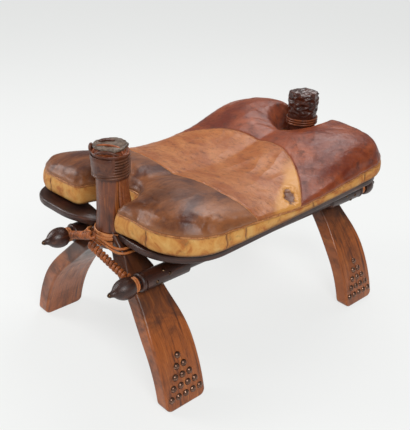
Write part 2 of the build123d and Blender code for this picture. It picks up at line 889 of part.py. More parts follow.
def waist_arc(front_centre, rear_centre, front_radius, rear_radius, side, waist):
    """Points of a side's long arc, tangent to the two corner arcs, and the arcs' own middles."""
    apart = rear_centre.X - front_centre.X
    offset = waist * (front_radius - rear_radius) / apart
    front_reach = apart / 2 + offset
    sum_radius = (front_reach ** 2 + waist ** 2) / (2 * waist)
    middle_x = front_centre.X + front_reach
    edge_y = front_centre.Y + side * (front_radius - waist)
    centre = Vector(middle_x, edge_y + side * (sum_radius - front_radius))
    front_way = (centre - front_centre) / sum_radius
    rear_way = (centre - rear_centre).normalized() * (1 if waist > 0 else -1)
    front_touch = front_centre + front_way * front_radius
    rear_touch = rear_centre + rear_way * rear_radius
    front_middle = front_centre + (front_way - Vector(1, 0)).normalized() * front_radius
    rear_middle = rear_centre + (rear_way + Vector(1, 0)).normalized() * rear_radius
    return front_middle, front_touch, Vector(middle_x, edge_y), rear_touch, rear_middle


def pad_outline(inset, height):
    """The pad's plan, drawn in or let out by an inset, as lines and arcs at a height."""
    middle_x = frame_middle + pad_slide
    half_length = pad_half_length - inset
    half_width = pad_half_width - inset
    growth = inset if inset > 0 else inset * pad_notch_bulge_share
    tip = max(pad_tip_radius - inset, pad_tip_least_radius)
    front_x = middle_x - half_length
    rear_x = middle_x + half_length
    rear_radius = pad_rear_corner_radius - inset
    front_notch = Vector(front_station, pad_front_notch_shift)
    rear_notch = Vector(rear_station, pad_rear_notch_shift)
    edges = []

    def level(point):
        return Vector(point.X, point.Y, height)

    def arc(start, through, end):
        edges.append(Edge.make_three_point_arc(level(start), level(through), level(end)))

    def line(start, end):
        edges.append(Edge.make_line(level(start), level(end)))

    for side, waist in ((-1, pad_right_waist), (1, pad_left_waist)):
        side_y = pad_left_shift + side * half_width
        front_radius = pad_right_front_corner_radius if side < 0 else pad_left_front_corner_radius
        front_radius -= inset
        front_centre = Vector(front_x + front_radius, side_y - side * front_radius)
        rear_centre = Vector(rear_x - rear_radius, side_y - side * rear_radius)
        front_tip = notch_points(
            -1, front_x, front_notch, pad_front_notch_radius + growth, tip, side
        )
        rear_tip = notch_points(1, rear_x, rear_notch, pad_rear_notch_radius + growth, tip, side)
        front_middle, front_touch, waist_point, rear_touch, rear_middle = waist_arc(
            front_centre, rear_centre, front_radius, rear_radius, side, waist
        )
        walk = [
            (front_tip[4], front_tip[3], front_tip[2]),
            (front_tip[2], front_tip[1], front_tip[0]),
            (front_tip[0], Vector(front_x, front_centre.Y)),
            (Vector(front_x, front_centre.Y), front_middle, front_touch),
            (front_touch, waist_point, rear_touch),
            (rear_touch, rear_middle, Vector(rear_x, rear_centre.Y)),
            (Vector(rear_x, rear_centre.Y), rear_tip[0]),
            (rear_tip[0], rear_tip[1], rear_tip[2]),
            (rear_tip[2], rear_tip[3], rear_tip[4]),
        ]
        if side > 0:
            walk = [tuple(reversed(step)) for step in reversed(walk)]
        for step in walk:
            if len(step) == 2:
                line(*step)
            else:
                arc(*step)
    return Wire(edges)


def pad_sides(inset, floor):
    """The pad's sides as a loft: drawn in at the foot, full in the band, falling in above it."""
    crown_rise = pad_crown_height - pad_band_height
    levels = [
        (floor, pad_seam_proud),
        (pad_band_height / 2, -pad_bulge),
        (pad_band_height, -pad_seam_proud),
        (pad_band_height + crown_rise / 3, pad_seam_proud),
        (pad_band_height + 2 * crown_rise / 3, pad_seam_proud + pad_bulge * 2),
        (pad_crown_height + pad_bulge, pad_seam_proud + pad_bulge * 5),
    ]
    sections = [pad_outline(draw + inset, height) for height, draw in levels]
    return Solid.make_loft(sections, False)


def crown_section(x, edge, hump, valley_height):
    """Cross-section under the crown: two humps with a shallow valley between them."""
    reach = pad_half_width + crown_side_room
    base = -pad_band_height
    left = pad_left_shift + reach
    right = pad_left_shift - reach
    valley = Vector(x, pad_left_shift, valley_height)
    edges = [
        Edge.make_line((x, left, base), (x, right, base)),
        Edge.make_line((x, right, base), (x, right, edge)),
        Edge.make_three_point_arc(
            (x, right, edge), (x, pad_left_shift - crown_hump_reach, hump), valley
        ),
        Edge.make_three_point_arc(
            valley, (x, pad_left_shift + crown_hump_reach, hump), (x, left, edge)
        ),
        Edge.make_line((x, left, edge), (x, left, base)),
    ]
    return Wire(edges)


def pad_crown(drop):
    """Everything under the pad's crown, lofted from end to end: a saddle, low in the middle."""
    middle_x = frame_middle + pad_slide
    reach = pad_half_length + crown_end_room
    sections = []
    shares = zip(pad_place_shares, crown_edge_shares, crown_hump_shares, crown_valley_shares)
    for place, edge, hump, valley in shares:
        heights = [share * pad_crown_height - drop for share in (edge, hump, valley)]
        sections.append(crown_section(middle_x + place * reach, *heights))
    return Solid.make_loft(sections, False)


def pad_body(inset):
    """The pad's shape, or the same shape one leather's thickness smaller."""
    return Part() + (pad_sides(inset, inset) & pad_crown(inset))


def slab(low_x, high_x, low_z, high_z):
    """A block across the whole pad between two places and two heights."""
    width = 2 * (pad_half_width + crown_side_room + pad_left_shift)
    box = Box(high_x - low_x, width, high_z - low_z)
    return box.translate(((low_x + high_x) / 2, 0, (low_z + high_z) / 2))


def under_seam():
    """Everything below the seam between the side band and the top, which dips in the middle."""
    middle_x = frame_middle + pad_slide
    far = pad_half_length + cut_overrun
    front = (middle_x - far, seam_front_height)
    dip = (middle_x + seam_middle_slide, seam_middle_height)
    rear = (middle_x + far, seam_rear_height)
    front_half = (middle_x - far / 2, seam_front_rise)
    rear_half = (middle_x + far / 2, seam_rear_rise)
    outline = [
        ThreePointArc(front, front_half, dip),
        ThreePointArc(dip, rear_half, rear),
        Line(rear, (rear[0], -cut_overrun)),
        Line((rear[0], -cut_overrun), (front[0], -cut_overrun)),
        Line((front[0], -cut_overrun), front),
    ]
    face = make_face(Wire([part.edge() for part in outline]))
    width = pad_half_width + crown_side_room + pad_left_shift
    return extrude(Plane.XZ * face, width, both=True)


def pad_pieces():
    """Filling, base, side band and three top panels of the pad, in the pad's flat frame."""
    outside = pad_body(0.0)
    filling = pad_body(pad_leather)
    skin = outside - filling
    far = pad_half_length + cut_overrun
    middle_x = frame_middle + pad_slide
    low_x = middle_x - far
    high_x = middle_x + far
    front_edge = middle_x + front_panel_edge_share * pad_half_length
    rear_edge = middle_x + rear_panel_edge_share * pad_half_length
    top = pad_crown_height + cut_overrun
    half_gap = panel_joint_gap / 2
    base = skin & slab(low_x, high_x, -cut_overrun, pad_base_fold)
    sides_and_top = skin & slab(low_x, high_x, pad_base_fold, top)
    seam = under_seam()
    panels = sides_and_top - seam
    return {
        "pad_filling": filling,
        "pad_base_leather": base,
        "pad_side_band": sides_and_top & seam,
        "pad_front_panel": panels & slab(low_x, front_edge - half_gap, 0, top),
        "pad_middle_panel": panels & slab(front_edge + half_gap, rear_edge - half_gap, 0, top),
        "pad_rear_panel": panels & slab(rear_edge + half_gap, high_x, 0, top),
    }


def build():
    """Make every node and write it."""
    nodes = {}
    blank = leg_blank()
    for end_name, end in ends.items():
        station = stations[end_name]
        nodes[f"{end_name}_post"] = post(station)
        nodes[f"{end_name}_crossing_peg"] = crossing_peg(station)
        length = front_cover_length if end < 0 else rear_cover_length
        head_length = front_cover_head if end < 0 else rear_cover_head
        nodes[f"{end_name}_post_cover"] = post_cover(station, length, head_length)
        turns = front_binding_turns if end < 0 else rear_binding_turns
        low = post_top - head_length - binding_wire_radius - binding_pitch * turns
        low -= front_binding_drop if end < 0 else rear_binding_drop
        name = f"{end_name}_post_binding"
        nodes[name] = post_binding(name, station, low, turns)
        name = f"{end_name}_crossing_thong"
        nodes[name] = crossing_thong(name, station, end)
        for side_name, side in sides.items():
            label = f"{end_name}_{side_name}"
            nodes[f"{label}_leg"] = leg(blank, side, station)
            nail = domed_nail(nail_head_radius, nail_head_height, nail_shank_length)
            nails = [plane * nail for plane in nail_planes(side, station)]
            nodes[f"{label}_leg_nails"] = Compound(children=nails)
            name = f"{label}_neck_thong"
            nodes[name] = neck_thong(name, side, end)
            name = f"{label}_tie_whipping"
            nodes[name] = tie_whipping(name, side, end)
    nodes["front_post_skirt"] = post_skirt(front_station)
    tie_cores = [tie_core(side, end) for end in ends.values() for side in sides.values()]
    nodes["tie_cores"] = Compound(children=tie_cores)
    pegs = []
    for side_name, side in sides.items():
        nodes[f"{side_name}_rail"] = rail(side)
        nodes[f"{side_name}_rail_studs"] = Compound(children=stud_bodies(side))
        nodes[f"{side_name}_finial_knobs"] = Compound(children=tip_knobs(side))
        nodes[f"{side_name}_seat_slat"] = slat(side)
        for station in stations.values():
            pegs.append(slat_peg(side, station))
    nodes["slat_pegs"] = Compound(children=pegs)
    for name, piece in pad_pieces().items():
        nodes[name] = on_seat(piece)
    for name, shape in nodes.items():
        export_node(name, shape)
    print(len(nodes), "nodes written")


build()
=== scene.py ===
from math import cos, pi, radians, sin

import bmesh
import bpy
import numpy as np
from mathutils import Matrix, Vector, noise


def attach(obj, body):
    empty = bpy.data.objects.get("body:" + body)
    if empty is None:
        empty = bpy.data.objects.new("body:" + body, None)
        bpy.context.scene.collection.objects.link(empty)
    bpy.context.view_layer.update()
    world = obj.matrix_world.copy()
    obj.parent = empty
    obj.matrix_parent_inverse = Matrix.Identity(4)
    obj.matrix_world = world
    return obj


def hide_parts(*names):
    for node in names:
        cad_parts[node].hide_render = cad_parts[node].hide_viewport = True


bl_info = {
    "name": "Camel saddle stool",
    "version": (1, 0, 0),
    "blender": (4, 5, 0),
    "location": "3D View > Sidebar > Stool",
    "description": "Dresses a camel saddle stool: oiled wood, lashings, leather covers and pad",
    "category": "Object",
}

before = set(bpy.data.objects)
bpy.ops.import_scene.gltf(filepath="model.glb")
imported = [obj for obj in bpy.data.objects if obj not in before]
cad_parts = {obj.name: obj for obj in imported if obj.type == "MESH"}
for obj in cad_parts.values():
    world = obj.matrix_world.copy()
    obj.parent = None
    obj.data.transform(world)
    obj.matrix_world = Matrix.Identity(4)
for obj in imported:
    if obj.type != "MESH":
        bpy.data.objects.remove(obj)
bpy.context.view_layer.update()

# Places that the solids have, in metres
FRAME_MIDDLE = -0.034
FRONT_STATION = -0.315
REAR_STATION = 0.247
PAD_UNDERSIDE = 0.3124
SEAT_PITCH = radians(2.45)
# The covers' caps stay below this height
COVER_CEILING = 0.4755
# Points nearer than this are one point
SAME_POINT = 1e-6


def linear(text):
    """An sRGB hex colour as linear red, green and blue."""
    parts = [int(text[i:i + 2], 16) / 255 for i in (1, 3, 5)]
    return tuple(c / 12.92 if c <= 0.04045 else ((c + 0.055) / 1.055) ** 2.4 for c in parts)


def colour_setting(name, description, text):
    """A colour that a user can change."""
    return bpy.props.FloatVectorProperty(
        name=name, description=description, subtype="COLOR", size=3, min=0, max=1,
        default=linear(text),
    )


def length_setting(name, description, metres):
    """A length that a user can change."""
    return bpy.props.FloatProperty(
        name=name, description=description, default=metres, unit="LENGTH", precision=4
    )


class StoolWood(bpy.types.PropertyGroup):
    """Colours and grain of the oiled wood."""

    leg_dark: colour_setting("Leg dark", "Dark grain of the legs", "#56270f")
    leg_middle: colour_setting("Leg middle", "Body colour of the legs", "#a45825")
    leg_light: colour_setting("Leg light", "Light grain of the legs", "#c77a3b")
    post_dark: colour_setting("Post dark", "Dark grain of the posts", "#35170c")
    post_middle: colour_setting("Post middle", "Body colour of the posts", "#743a1c")
    post_light: colour_setting("Post light", "Light grain of the posts", "#c07030")
    rail_dark: colour_setting("Rail dark", "Dark grain of the rails", "#1a0b07")
    rail_middle: colour_setting("Rail middle", "Body colour of the rails", "#3c1c10")
    rail_light: colour_setting("Rail light", "Light grain of the rails", "#64361f")
    grain_width: length_setting("Grain width", "Width of one streak of grain", 0.007)
    grain_length: length_setting("Grain length", "Length of one streak of grain", 0.110)


class StoolLeather(bpy.types.PropertyGroup):
    """Colours of the leathers."""

    lobe_brown: colour_setting("Lobe brown", "Front panels of the pad", "#4f2413")
    lobe_grey: colour_setting("Lobe grey", "Worn bloom on the front panels", "#93582f")
    saddle_red: colour_setting("Saddle red", "Rear panel of the pad", "#6a260e")
    saddle_light: colour_setting("Saddle light", "Rubbed parts of the rear panel", "#97471e")
    tan: colour_setting("Tan", "Middle panel of the pad", "#9c5426")
    ochre: colour_setting("Ochre", "Side band of the pad", "#c98b43")
    orange: colour_setting("Orange", "Stains and edges of the side band", "#b0682a")
    cover_brown: colour_setting("Cover brown", "Leather of the post covers", "#4a2011")
    thong_orange: colour_setting("Thong orange", "Thongs and lashings", "#b9662e")


class StoolPad(bpy.types.PropertyGroup):
    """Sizes of the pad's shape."""

    voxel: length_setting("Voxel", "Size of the pad's faces before it swells", 0.0052)
    pressure: bpy.props.FloatProperty(
        name="Pressure", description="Pressure inside the pad as it swells", default=4.0
    )
    swell: length_setting("Swell limit", "How far a point of the pad may swell", 0.006)
    lobe_reach: length_setting("Lobe reach", "How far the left front lobe leans out", 0.026)
    groove: length_setting("Seam groove", "Depth of the seams", 0.0022)
    cord: length_setting("Seam cord", "Radius of the rolled edge along the top seam", 0.0017)
    wrinkle: length_setting("Wrinkle", "Height of the wrinkles in the leather", 0.0016)


class StoolStage(bpy.types.PropertyGroup):
    """Camera and lamps."""

    lens: bpy.props.FloatProperty(
        name="Lens", description="Focal length in millimetres", default=59.19
    )
    key_power: bpy.props.FloatProperty(
        name="Key power", description="Power of the large soft lamp", default=46.0, unit="POWER"
    )
    fill: bpy.props.FloatProperty(
        name="Fill", description="Strength of the pale surroundings", default=0.27
    )


# Small helpers

def add(tree, kind, links=None, stops=None, **settings):
    """Add a node with its settings; links fills its sockets with values or other outputs."""
    made = tree.nodes.new(kind)
    for name, value in settings.items():
        setattr(made, name, value)
    for socket, value in (links or {}).items():
        target = made.inputs[socket]
        if isinstance(value, bpy.types.NodeSocket):
            tree.links.new(value, target)
        elif target.type == "RGBA" and len(value) == 3:
            target.default_value = (*value, 1)
        else:
            target.default_value = value
    if stops:
        elements = made.color_ramp.elements
        while len(elements) < len(stops):
            elements.new(1)
        for element, (place, shade) in zip(elements, stops):
            element.position = place
            element.color = (*shade, 1) if len(shade) == 3 else (*shade * 3, 1)
    return made


def new_material(name):
    """An empty material, its tree and its surface shader."""
    material = bpy.data.materials.new(name)
    material.use_nodes = True
    tree = material.node_tree
    tree.nodes.clear()
    shader = add(tree, "ShaderNodeBsdfPrincipled")
    add(tree, "ShaderNodeOutputMaterial", {"Surface": shader.outputs[0]})
    return material, tree, shader


def lay_on(tree, shader, colour, rough, relief, values):
    """Join a finish's colour, roughness and relief to its shader, and set the shader's values."""
    for socket, output in (("Base Color", colour), ("Roughness", rough), ("Normal", relief)):
        tree.links.new(output, shader.inputs[socket])
    for socket, value in values.items():
        shader.inputs[socket].default_value = value


def dress(names, material):
    """Give CAD nodes their material."""
    for name in names:
        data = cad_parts[name].data
        data.materials.clear()
        data.materials.append(material)


def per_metre(millimetres):
    """Pattern scale of a size in millimetres."""
    return 1000 / millimetres


def piece_from(bm, name, material, body, replaces=()):
    """Turn a bmesh into a named piece that rides on a body."""
    mesh = bpy.data.meshes.new(name)
    bm.to_mesh(mesh)
    bm.free()
    return finish_piece(mesh, name, material, body, replaces)


def finish_piece(mesh, name, material, body, replaces=()):
    """Put a mesh in the scene as a named piece that rides on a body."""
    piece = bpy.data.objects.new(name, mesh)
    bpy.context.scene.collection.objects.link(piece)
    if material:
        mesh.materials.append(material)
    mesh.shade_smooth()
    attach(piece, body)
    if replaces:
        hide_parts(*replaces)
    return piece


def merged(mesh):
    """A bmesh of a mesh, its doubled points merged."""
    bm = bmesh.new()
    bm.from_mesh(mesh)
    bmesh.ops.remove_doubles(bm, verts=bm.verts, dist=SAME_POINT)
    return bm


def mesh_of_curve(curve):
    """A curve's tube as a mesh; the curve itself is removed."""
    holder = bpy.data.objects.new(curve.name, curve)
    bpy.context.scene.collection.objects.link(holder)
    graph = bpy.context.evaluated_depsgraph_get()
    mesh = bpy.data.meshes.new_from_object(holder.evaluated_get(graph))
    bpy.data.objects.remove(holder)
    bpy.data.curves.remove(curve)
    mesh.materials.clear()
    return mesh


def give_wall(piece, thickness):
    """Give a thin shell its thickness and a rounded edge."""
    wall = piece.modifiers.new("thickness", "SOLIDIFY")
    wall.thickness = thickness
    wall.offset = 0
    rounded = piece.modifiers.new("edge", "BEVEL")
    rounded.width = 0.0005
    rounded.segments = 2


def applied(piece):
    """Put a piece's modifiers into its mesh."""
    graph = bpy.context.evaluated_depsgraph_get()
    mesh = bpy.data.meshes.new_from_object(piece.evaluated_get(graph))
    old = piece.data
    piece.modifiers.clear()
    piece.data = mesh
    mesh.name = old.name
    bpy.data.meshes.remove(old)
    return piece


def points_of(mesh):
    """A mesh's points as an array."""
    points = np.empty(len(mesh.vertices) * 3)
    mesh.vertices.foreach_get("co", points)
    return points.reshape(-1, 3)


def normals_of(mesh):
    """A mesh's point normals as an array."""
    normals = np.empty(len(mesh.vertices) * 3)
    mesh.vertex_normals.foreach_get("vector", normals)
    return normals.reshape(-1, 3)


def put_points(mesh, points):
    """Move a mesh's points."""
    mesh.vertices.foreach_set("co", points.ravel())
    mesh.update()


def cloud(points, size, seed):
    """Smooth noise between about -1 and 1 at points; size is the width of its lumps."""
    shift = Vector((seed * 3.7, seed * 1.3, seed * 2.1))
    return np.array([noise.noise(Vector(p) / size + shift) for p in points]) * 1.6


def smooth_step(values, low, high):
    """0 below low, 1 above high, smooth between."""
    share = np.clip((values - low) / (high - low), 0, 1)
    return share * share * (3 - 2 * share)


# Wood

# The legs go dark between these heights: partly handling patina, partly painted shade under the
# rail and the pad
LEG_PATINA_AND_SHADE = (0.135, 0.215)
# How far the left slat leans out, the middle of its bend, and how far the bend widens inwards
SLAT_REACH = 0.014
BEND_MIDDLE = (-0.262, 0.135)
BEND_BOARD = 0.042
# Share of the lean that goes forwards
LEAN_FORWARD_SHARE = 0.25


def oiled_wood(name, dark, middle, light, along, seed, gloss=0.36, coat=0.08, patina_and_shade=None):
    """Hand-worked hardwood, oiled and rubbed: long streaks, dark stains, soft gloss.

    The last argument gives the heights in metres between which the wood goes dark, if it does:
    partly handling patina, partly painted shade under the rail and the pad.
    """
    wood = bpy.context.scene.stool_wood
    material, tree, shader = new_material(name)
    wide = per_metre(wood.grain_width * 1000)
    long = per_metre(wood.grain_length * 1000)
    scale = tuple(long if axis in along else wide for axis in "XYZ")
    place = add(tree, "ShaderNodeTexCoord").outputs["Object"]
    shifted = add(
        tree, "ShaderNodeMapping", {"Vector": place, "Location": (seed, seed / 2, seed / 3)}
    )
    grain_place = add(
        tree, "ShaderNodeMapping", {"Vector": shifted.outputs[0], "Scale": scale}
    )
    streaks = add(
        tree, "ShaderNodeTexNoise",
        {"Vector": grain_place.outputs[0], "Scale": 1.0, "Detail": 5.0, "Roughness": 0.62,
         "Distortion": 0.5},
    )
    # Pores and fine lines, about 1.4 mm wide
    pore_scale = tuple(per_metre(26) if axis in along else per_metre(1.4) for axis in "XYZ")
    pore_place = add(
        tree, "ShaderNodeMapping", {"Vector": shifted.outputs[0], "Scale": pore_scale}
    )
    pores = add(
        tree, "ShaderNodeTexNoise",
        {"Vector": pore_place.outputs[0], "Scale": 1.0, "Detail": 3.0, "Roughness": 0.7},
    )
    # Stains, about 55 mm wide
    stains = add(
        tree, "ShaderNodeTexNoise",
        {"Vector": shifted.outputs[0], "Scale": per_metre(55), "Detail": 4.0, "Roughness": 0.6,
         "Distortion": 0.8},
    )
    body = add(
        tree, "ShaderNodeValToRGB", {"Fac": streaks.outputs["Fac"]},
        stops=[(0.30, dark), (0.47, middle), (0.56, middle), (0.72, light)],
    )
    stain_share = add(
        tree, "ShaderNodeValToRGB", {"Fac": stains.outputs["Fac"]},
        stops=[(0.46, (0.0,)), (0.70, (0.62,))],
    )
    stained = add(
        tree, "ShaderNodeMixRGB",
        {"Fac": stain_share.outputs[0], "Color1": body.outputs[0], "Color2": dark},
    ).outputs[0]
    if patina_and_shade:
        # Painted shade: towards the top the wood darkens, partly as handling patina and partly as
        # the shade under the rail and the pad. The stains make the border ragged, by up to 70 mm
        # either way
        height = add(tree, "ShaderNodeSeparateXYZ", {"Vector": place})
        ragged = add(
            tree, "ShaderNodeMath", {0: stains.outputs["Fac"], 1: 0.14, 2: height.outputs["Z"]},
            operation="MULTIPLY_ADD",
        )
        share = add(
            tree, "ShaderNodeMapRange",
            {"Value": ragged.outputs[0], "From Min": patina_and_shade[0] + 0.07, "From Max": patina_and_shade[1] + 0.07,
             "To Max": 0.82},
        )
        stained = add(
            tree, "ShaderNodeMixRGB",
            {"Fac": share.outputs[0], "Color1": stained, "Color2": linear("#2b140b")},
        ).outputs[0]
    pore_shade = add(
        tree, "ShaderNodeValToRGB", {"Fac": pores.outputs["Fac"]},
        stops=[(0.34, (0.52,)), (0.50, (1.0,))],
    )
    colour = add(
        tree, "ShaderNodeMixRGB",
        {"Fac": 0.8, "Color1": stained, "Color2": pore_shade.outputs[0]},
        blend_type="MULTIPLY",
    )
    rough = add(
        tree, "ShaderNodeMapRange",
        {"Value": stains.outputs["Fac"], "From Min": 0.3, "From Max": 0.7,
         "To Min": gloss - 0.08, "To Max": gloss + 0.14},
    )
    relief = add(
        tree, "ShaderNodeMath", {0: streaks.outputs["Fac"], 1: pores.outputs["Fac"]},
        operation="ADD",
    )
    bump = add(
        tree, "ShaderNodeBump",
        {"Strength": 0.35, "Distance": 0.0008, "Height": relief.outputs[0]},
    )
    lay_on(
        tree, shader, colour.outputs[0], rough.outputs[0], bump.outputs[0],
        {"Coat Weight": coat, "Coat Roughness": 0.22, "IOR": 1.5},
    )
    return material


class STOOL_OT_woodwork(bpy.types.Operator):
    """Oiled wood on the legs, posts, rails, seat slats and pegs"""

    bl_idname = "stool.woodwork"
    bl_label = "Woodwork"

    def execute(self, context):
        wood = context.scene.stool_wood
        leg_colours = (wood.leg_dark, wood.leg_middle, wood.leg_light)
        post_colours = (wood.post_dark, wood.post_middle, wood.post_light)
        rail_colours = (wood.rail_dark, wood.rail_middle, wood.rail_light)
        seed = 0.0
        for end in ("front", "rear"):
            for side in ("right", "left"):
                seed += 0.37
                # The legs darken towards the top: partly handling patina, partly painted shade
                # under the rail and the pad
                dress([f"{end}_{side}_leg"], oiled_wood(
                    f"oiled_leg_wood_{end}_{side}", *leg_colours, "YZ", seed, patina_and_shade=LEG_PATINA_AND_SHADE))
            dress([f"{end}_post"], oiled_wood(
                f"oiled_post_wood_{end}", *post_colours, "Z", seed + 5, 0.30))
        for side in ("right", "left"):
            seed += 0.41
            dress([f"{side}_rail"], oiled_wood(
                f"stained_rail_wood_{side}", *rail_colours, "X", seed, 0.36))
            dress([f"{side}_seat_slat"], oiled_wood(
                f"stained_slat_wood_{side}", *rail_colours, "XY", seed + 3, 0.42))
        self.lean_slat(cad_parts["left_seat_slat"])
        peg = oiled_wood("plain_peg_wood", *leg_colours, "Y", 9.1, 0.6, 0.0)
        dress(["front_crossing_peg", "rear_crossing_peg", "slat_pegs"], peg)
        return {"FINISHED"}

    def lean_slat(self, node):
        """The left slat, its front corner leaned out under the pad's lobe."""
        material = node.data.materials[0]
        piece = piece_from(
            merged(node.data), "left_slat_bent", material, "frame",
            ["left_seat_slat"],
        )
        points = lean_out(points_of(piece.data), SLAT_REACH)
        # The bend is a broad board: its inner edge reaches in under the lobe
        inward = np.array(BEND_MIDDLE) - points[:, :2]
        inward /= np.maximum(np.linalg.norm(inward, axis=1), SAME_POINT)[:, None]
        facing = smooth_step((normals_of(piece.data)[:, :2] * inward).sum(axis=1), 0.1, 0.7)
        near = smooth_step(-points[:, 0], 0.19, 0.25) * smooth_step(points[:, 1], 0.036, 0.07)
        points[:, :2] += inward * (BEND_BOARD * facing * near)[:, None]
        put_points(piece.data, points)


def lean_out(points, reach):
    """Lean the left front corner of the pad, or of the slat under it, outwards."""
    ahead = smooth_step(-points[:, 0], 0.16, 0.29)
    left = smooth_step(points[:, 1], 0.10, 0.22)
    leaned = points.copy()
    leaned[:, 1] += reach * ahead * left
    leaned[:, 0] -= LEAN_FORWARD_SHARE * reach * ahead * left
    return leaned


# Metal

def aged_brass(name, dark, middle, worn):
    """Cast brass nails, dark with age and rubbed bright in patches of tarnish."""
    material, tree, shader = new_material(name)
    place = add(tree, "ShaderNodeTexCoord").outputs["Object"]
    # Tarnish in patches of about 4 mm
    tarnish = add(
        tree, "ShaderNodeTexNoise",
        {"Vector": place, "Scale": per_metre(4), "Detail": 4.0, "Roughness": 0.65},
    )
    colour = add(
        tree, "ShaderNodeValToRGB", {"Fac": tarnish.outputs["Fac"]},
        stops=[(0.30, dark), (0.55, middle), (0.75, worn)],
    )
    rough = add(
        tree, "ShaderNodeMapRange",
        {"Value": tarnish.outputs["Fac"], "To Min": 0.42, "To Max": 0.22},
    )
    bump = add(
        tree, "ShaderNodeBump",
        {"Strength": 0.3, "Distance": 0.0003, "Height": tarnish.outputs["Fac"]},
    )
    lay_on(
        tree, shader, colour.outputs[0], rough.outputs[0], bump.outputs[0], {"Metallic": 0.9}
    )
    return material


class STOOL_OT_metalwork(bpy.types.Operator):
    """Aged brass on the nails, studs and finial knobs"""

    bl_idname = "stool.metalwork"
    bl_label = "Metalwork"

    def execute(self, context):
        nails = [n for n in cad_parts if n.endswith("_nails")]
        small = [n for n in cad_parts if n.endswith(("_studs", "_knobs"))]
        dress(nails, aged_brass(
            "aged_brass", linear("#402c24"), linear("#7c5c4c"), linear("#ab8a76")))
        dress(small, aged_brass(
            "smoked_brass", linear("#2c1d16"), linear("#56402f"), linear("#8f6f50")))
        return {"FINISHED"}


# Leather

def worn_leather(name, deep, pale, spot, patch=60.0, gloss=0.45, crease=14.0, crease_height=0.0009,
                 coat=0.12, edge=None, dry=None, seed=0.0, stretch=(1, 1, 1)):
    """Vegetable-tanned hide, oiled by use: pale rubbed places, dark spots, fine creases and pores.

    patch and crease are sizes in millimetres. edge is a colour that comes in beside the seams,
    and dry is the colour of the skin where the pad's dye has not taken.
    """
    material, tree, shader = new_material(name)
    place = add(tree, "ShaderNodeTexCoord").outputs["Object"]
    shifted = add(
        tree, "ShaderNodeMapping",
        {"Vector": place, "Location": (seed, seed / 2, seed / 3), "Scale": stretch},
    ).outputs[0]
    patches, spots, creases = (
        add(
            tree, "ShaderNodeTexNoise",
            {"Vector": shifted, "Scale": per_metre(size), "Detail": detail,
             "Roughness": roughness, "Distortion": distortion},
        )
        for size, detail, roughness, distortion in (
            (patch, 5.0, 0.6, 0.6), (patch / 4, 5.0, 0.7, 0.3), (crease, 3.0, 0.5, 1.2)
        )
    )
    # Pores of the hide, drawn 2 mm apart so that they show
    pores = add(
        tree, "ShaderNodeTexVoronoi", {"Vector": shifted, "Scale": per_metre(2.0)},
    )
    body = add(
        tree, "ShaderNodeValToRGB", {"Fac": patches.outputs["Fac"]},
        stops=[(0.36, deep), (0.64, pale)],
    )
    spot_share = add(
        tree, "ShaderNodeValToRGB", {"Fac": spots.outputs["Fac"]},
        stops=[(0.52, (0.0,)), (0.72, (0.75,))],
    )
    spotted = add(
        tree, "ShaderNodeMixRGB",
        {"Fac": spot_share.outputs[0], "Color1": body.outputs[0], "Color2": spot},
    )
    crease_line = add(
        tree, "ShaderNodeValToRGB", {"Fac": creases.outputs["Fac"]},
        stops=[(0.44, (1.0,)), (0.50, (0.72,)), (0.56, (1.0,))],
    )
    colour = add(
        tree, "ShaderNodeMixRGB",
        {"Fac": 0.55, "Color1": spotted.outputs[0], "Color2": crease_line.outputs[0]},
        blend_type="MULTIPLY",
    ).outputs[0]
    if edge:
        beside = add(tree, "ShaderNodeAttribute", attribute_name="beside_seam")
        ragged = add(
            tree, "ShaderNodeMath",
            {0: beside.outputs["Fac"], 1: spots.outputs["Fac"]}, operation="MULTIPLY",
        )
        edge_share = add(
            tree, "ShaderNodeMapRange",
            {"Value": ragged.outputs[0], "From Min": 0.18, "From Max": 0.5, "To Max": 0.9},
        )
        colour = add(
            tree, "ShaderNodeMixRGB",
            {"Fac": edge_share.outputs[0], "Color1": colour, "Color2": edge},
        ).outputs[0]
    if dry:
        undyed = add(tree, "ShaderNodeAttribute", attribute_name="dry_share")
        colour = add(
            tree, "ShaderNodeMixRGB",
            {"Fac": undyed.outputs["Fac"], "Color1": colour, "Color2": dry},
        ).outputs[0]
        torn = add(tree, "ShaderNodeAttribute", attribute_name="seam_line")
        colour = add(
            tree, "ShaderNodeMixRGB",
            {"Fac": torn.outputs["Fac"], "Color1": colour, "Color2": linear("#6b3d22")},
        ).outputs[0]
    rough = add(
        tree, "ShaderNodeMapRange",
        {"Value": spots.outputs["Fac"], "From Min": 0.3, "From Max": 0.7,
         "To Min": gloss - 0.10, "To Max": gloss + 0.16},
    )
    fine = add(
        tree, "ShaderNodeBump",
        {"Strength": 0.25, "Distance": 0.0004, "Height": pores.outputs["Distance"]},
    )
    bump = add(
        tree, "ShaderNodeBump",
        {"Strength": 0.8, "Distance": crease_height, "Height": creases.outputs["Fac"],
         "Normal": fine.outputs[0]},
    )
    lay_on(
        tree, shader, colour, rough.outputs[0], bump.outputs[0],
        {"Coat Weight": coat, "Coat Roughness": 0.3, "IOR": 1.42},
    )
    return material


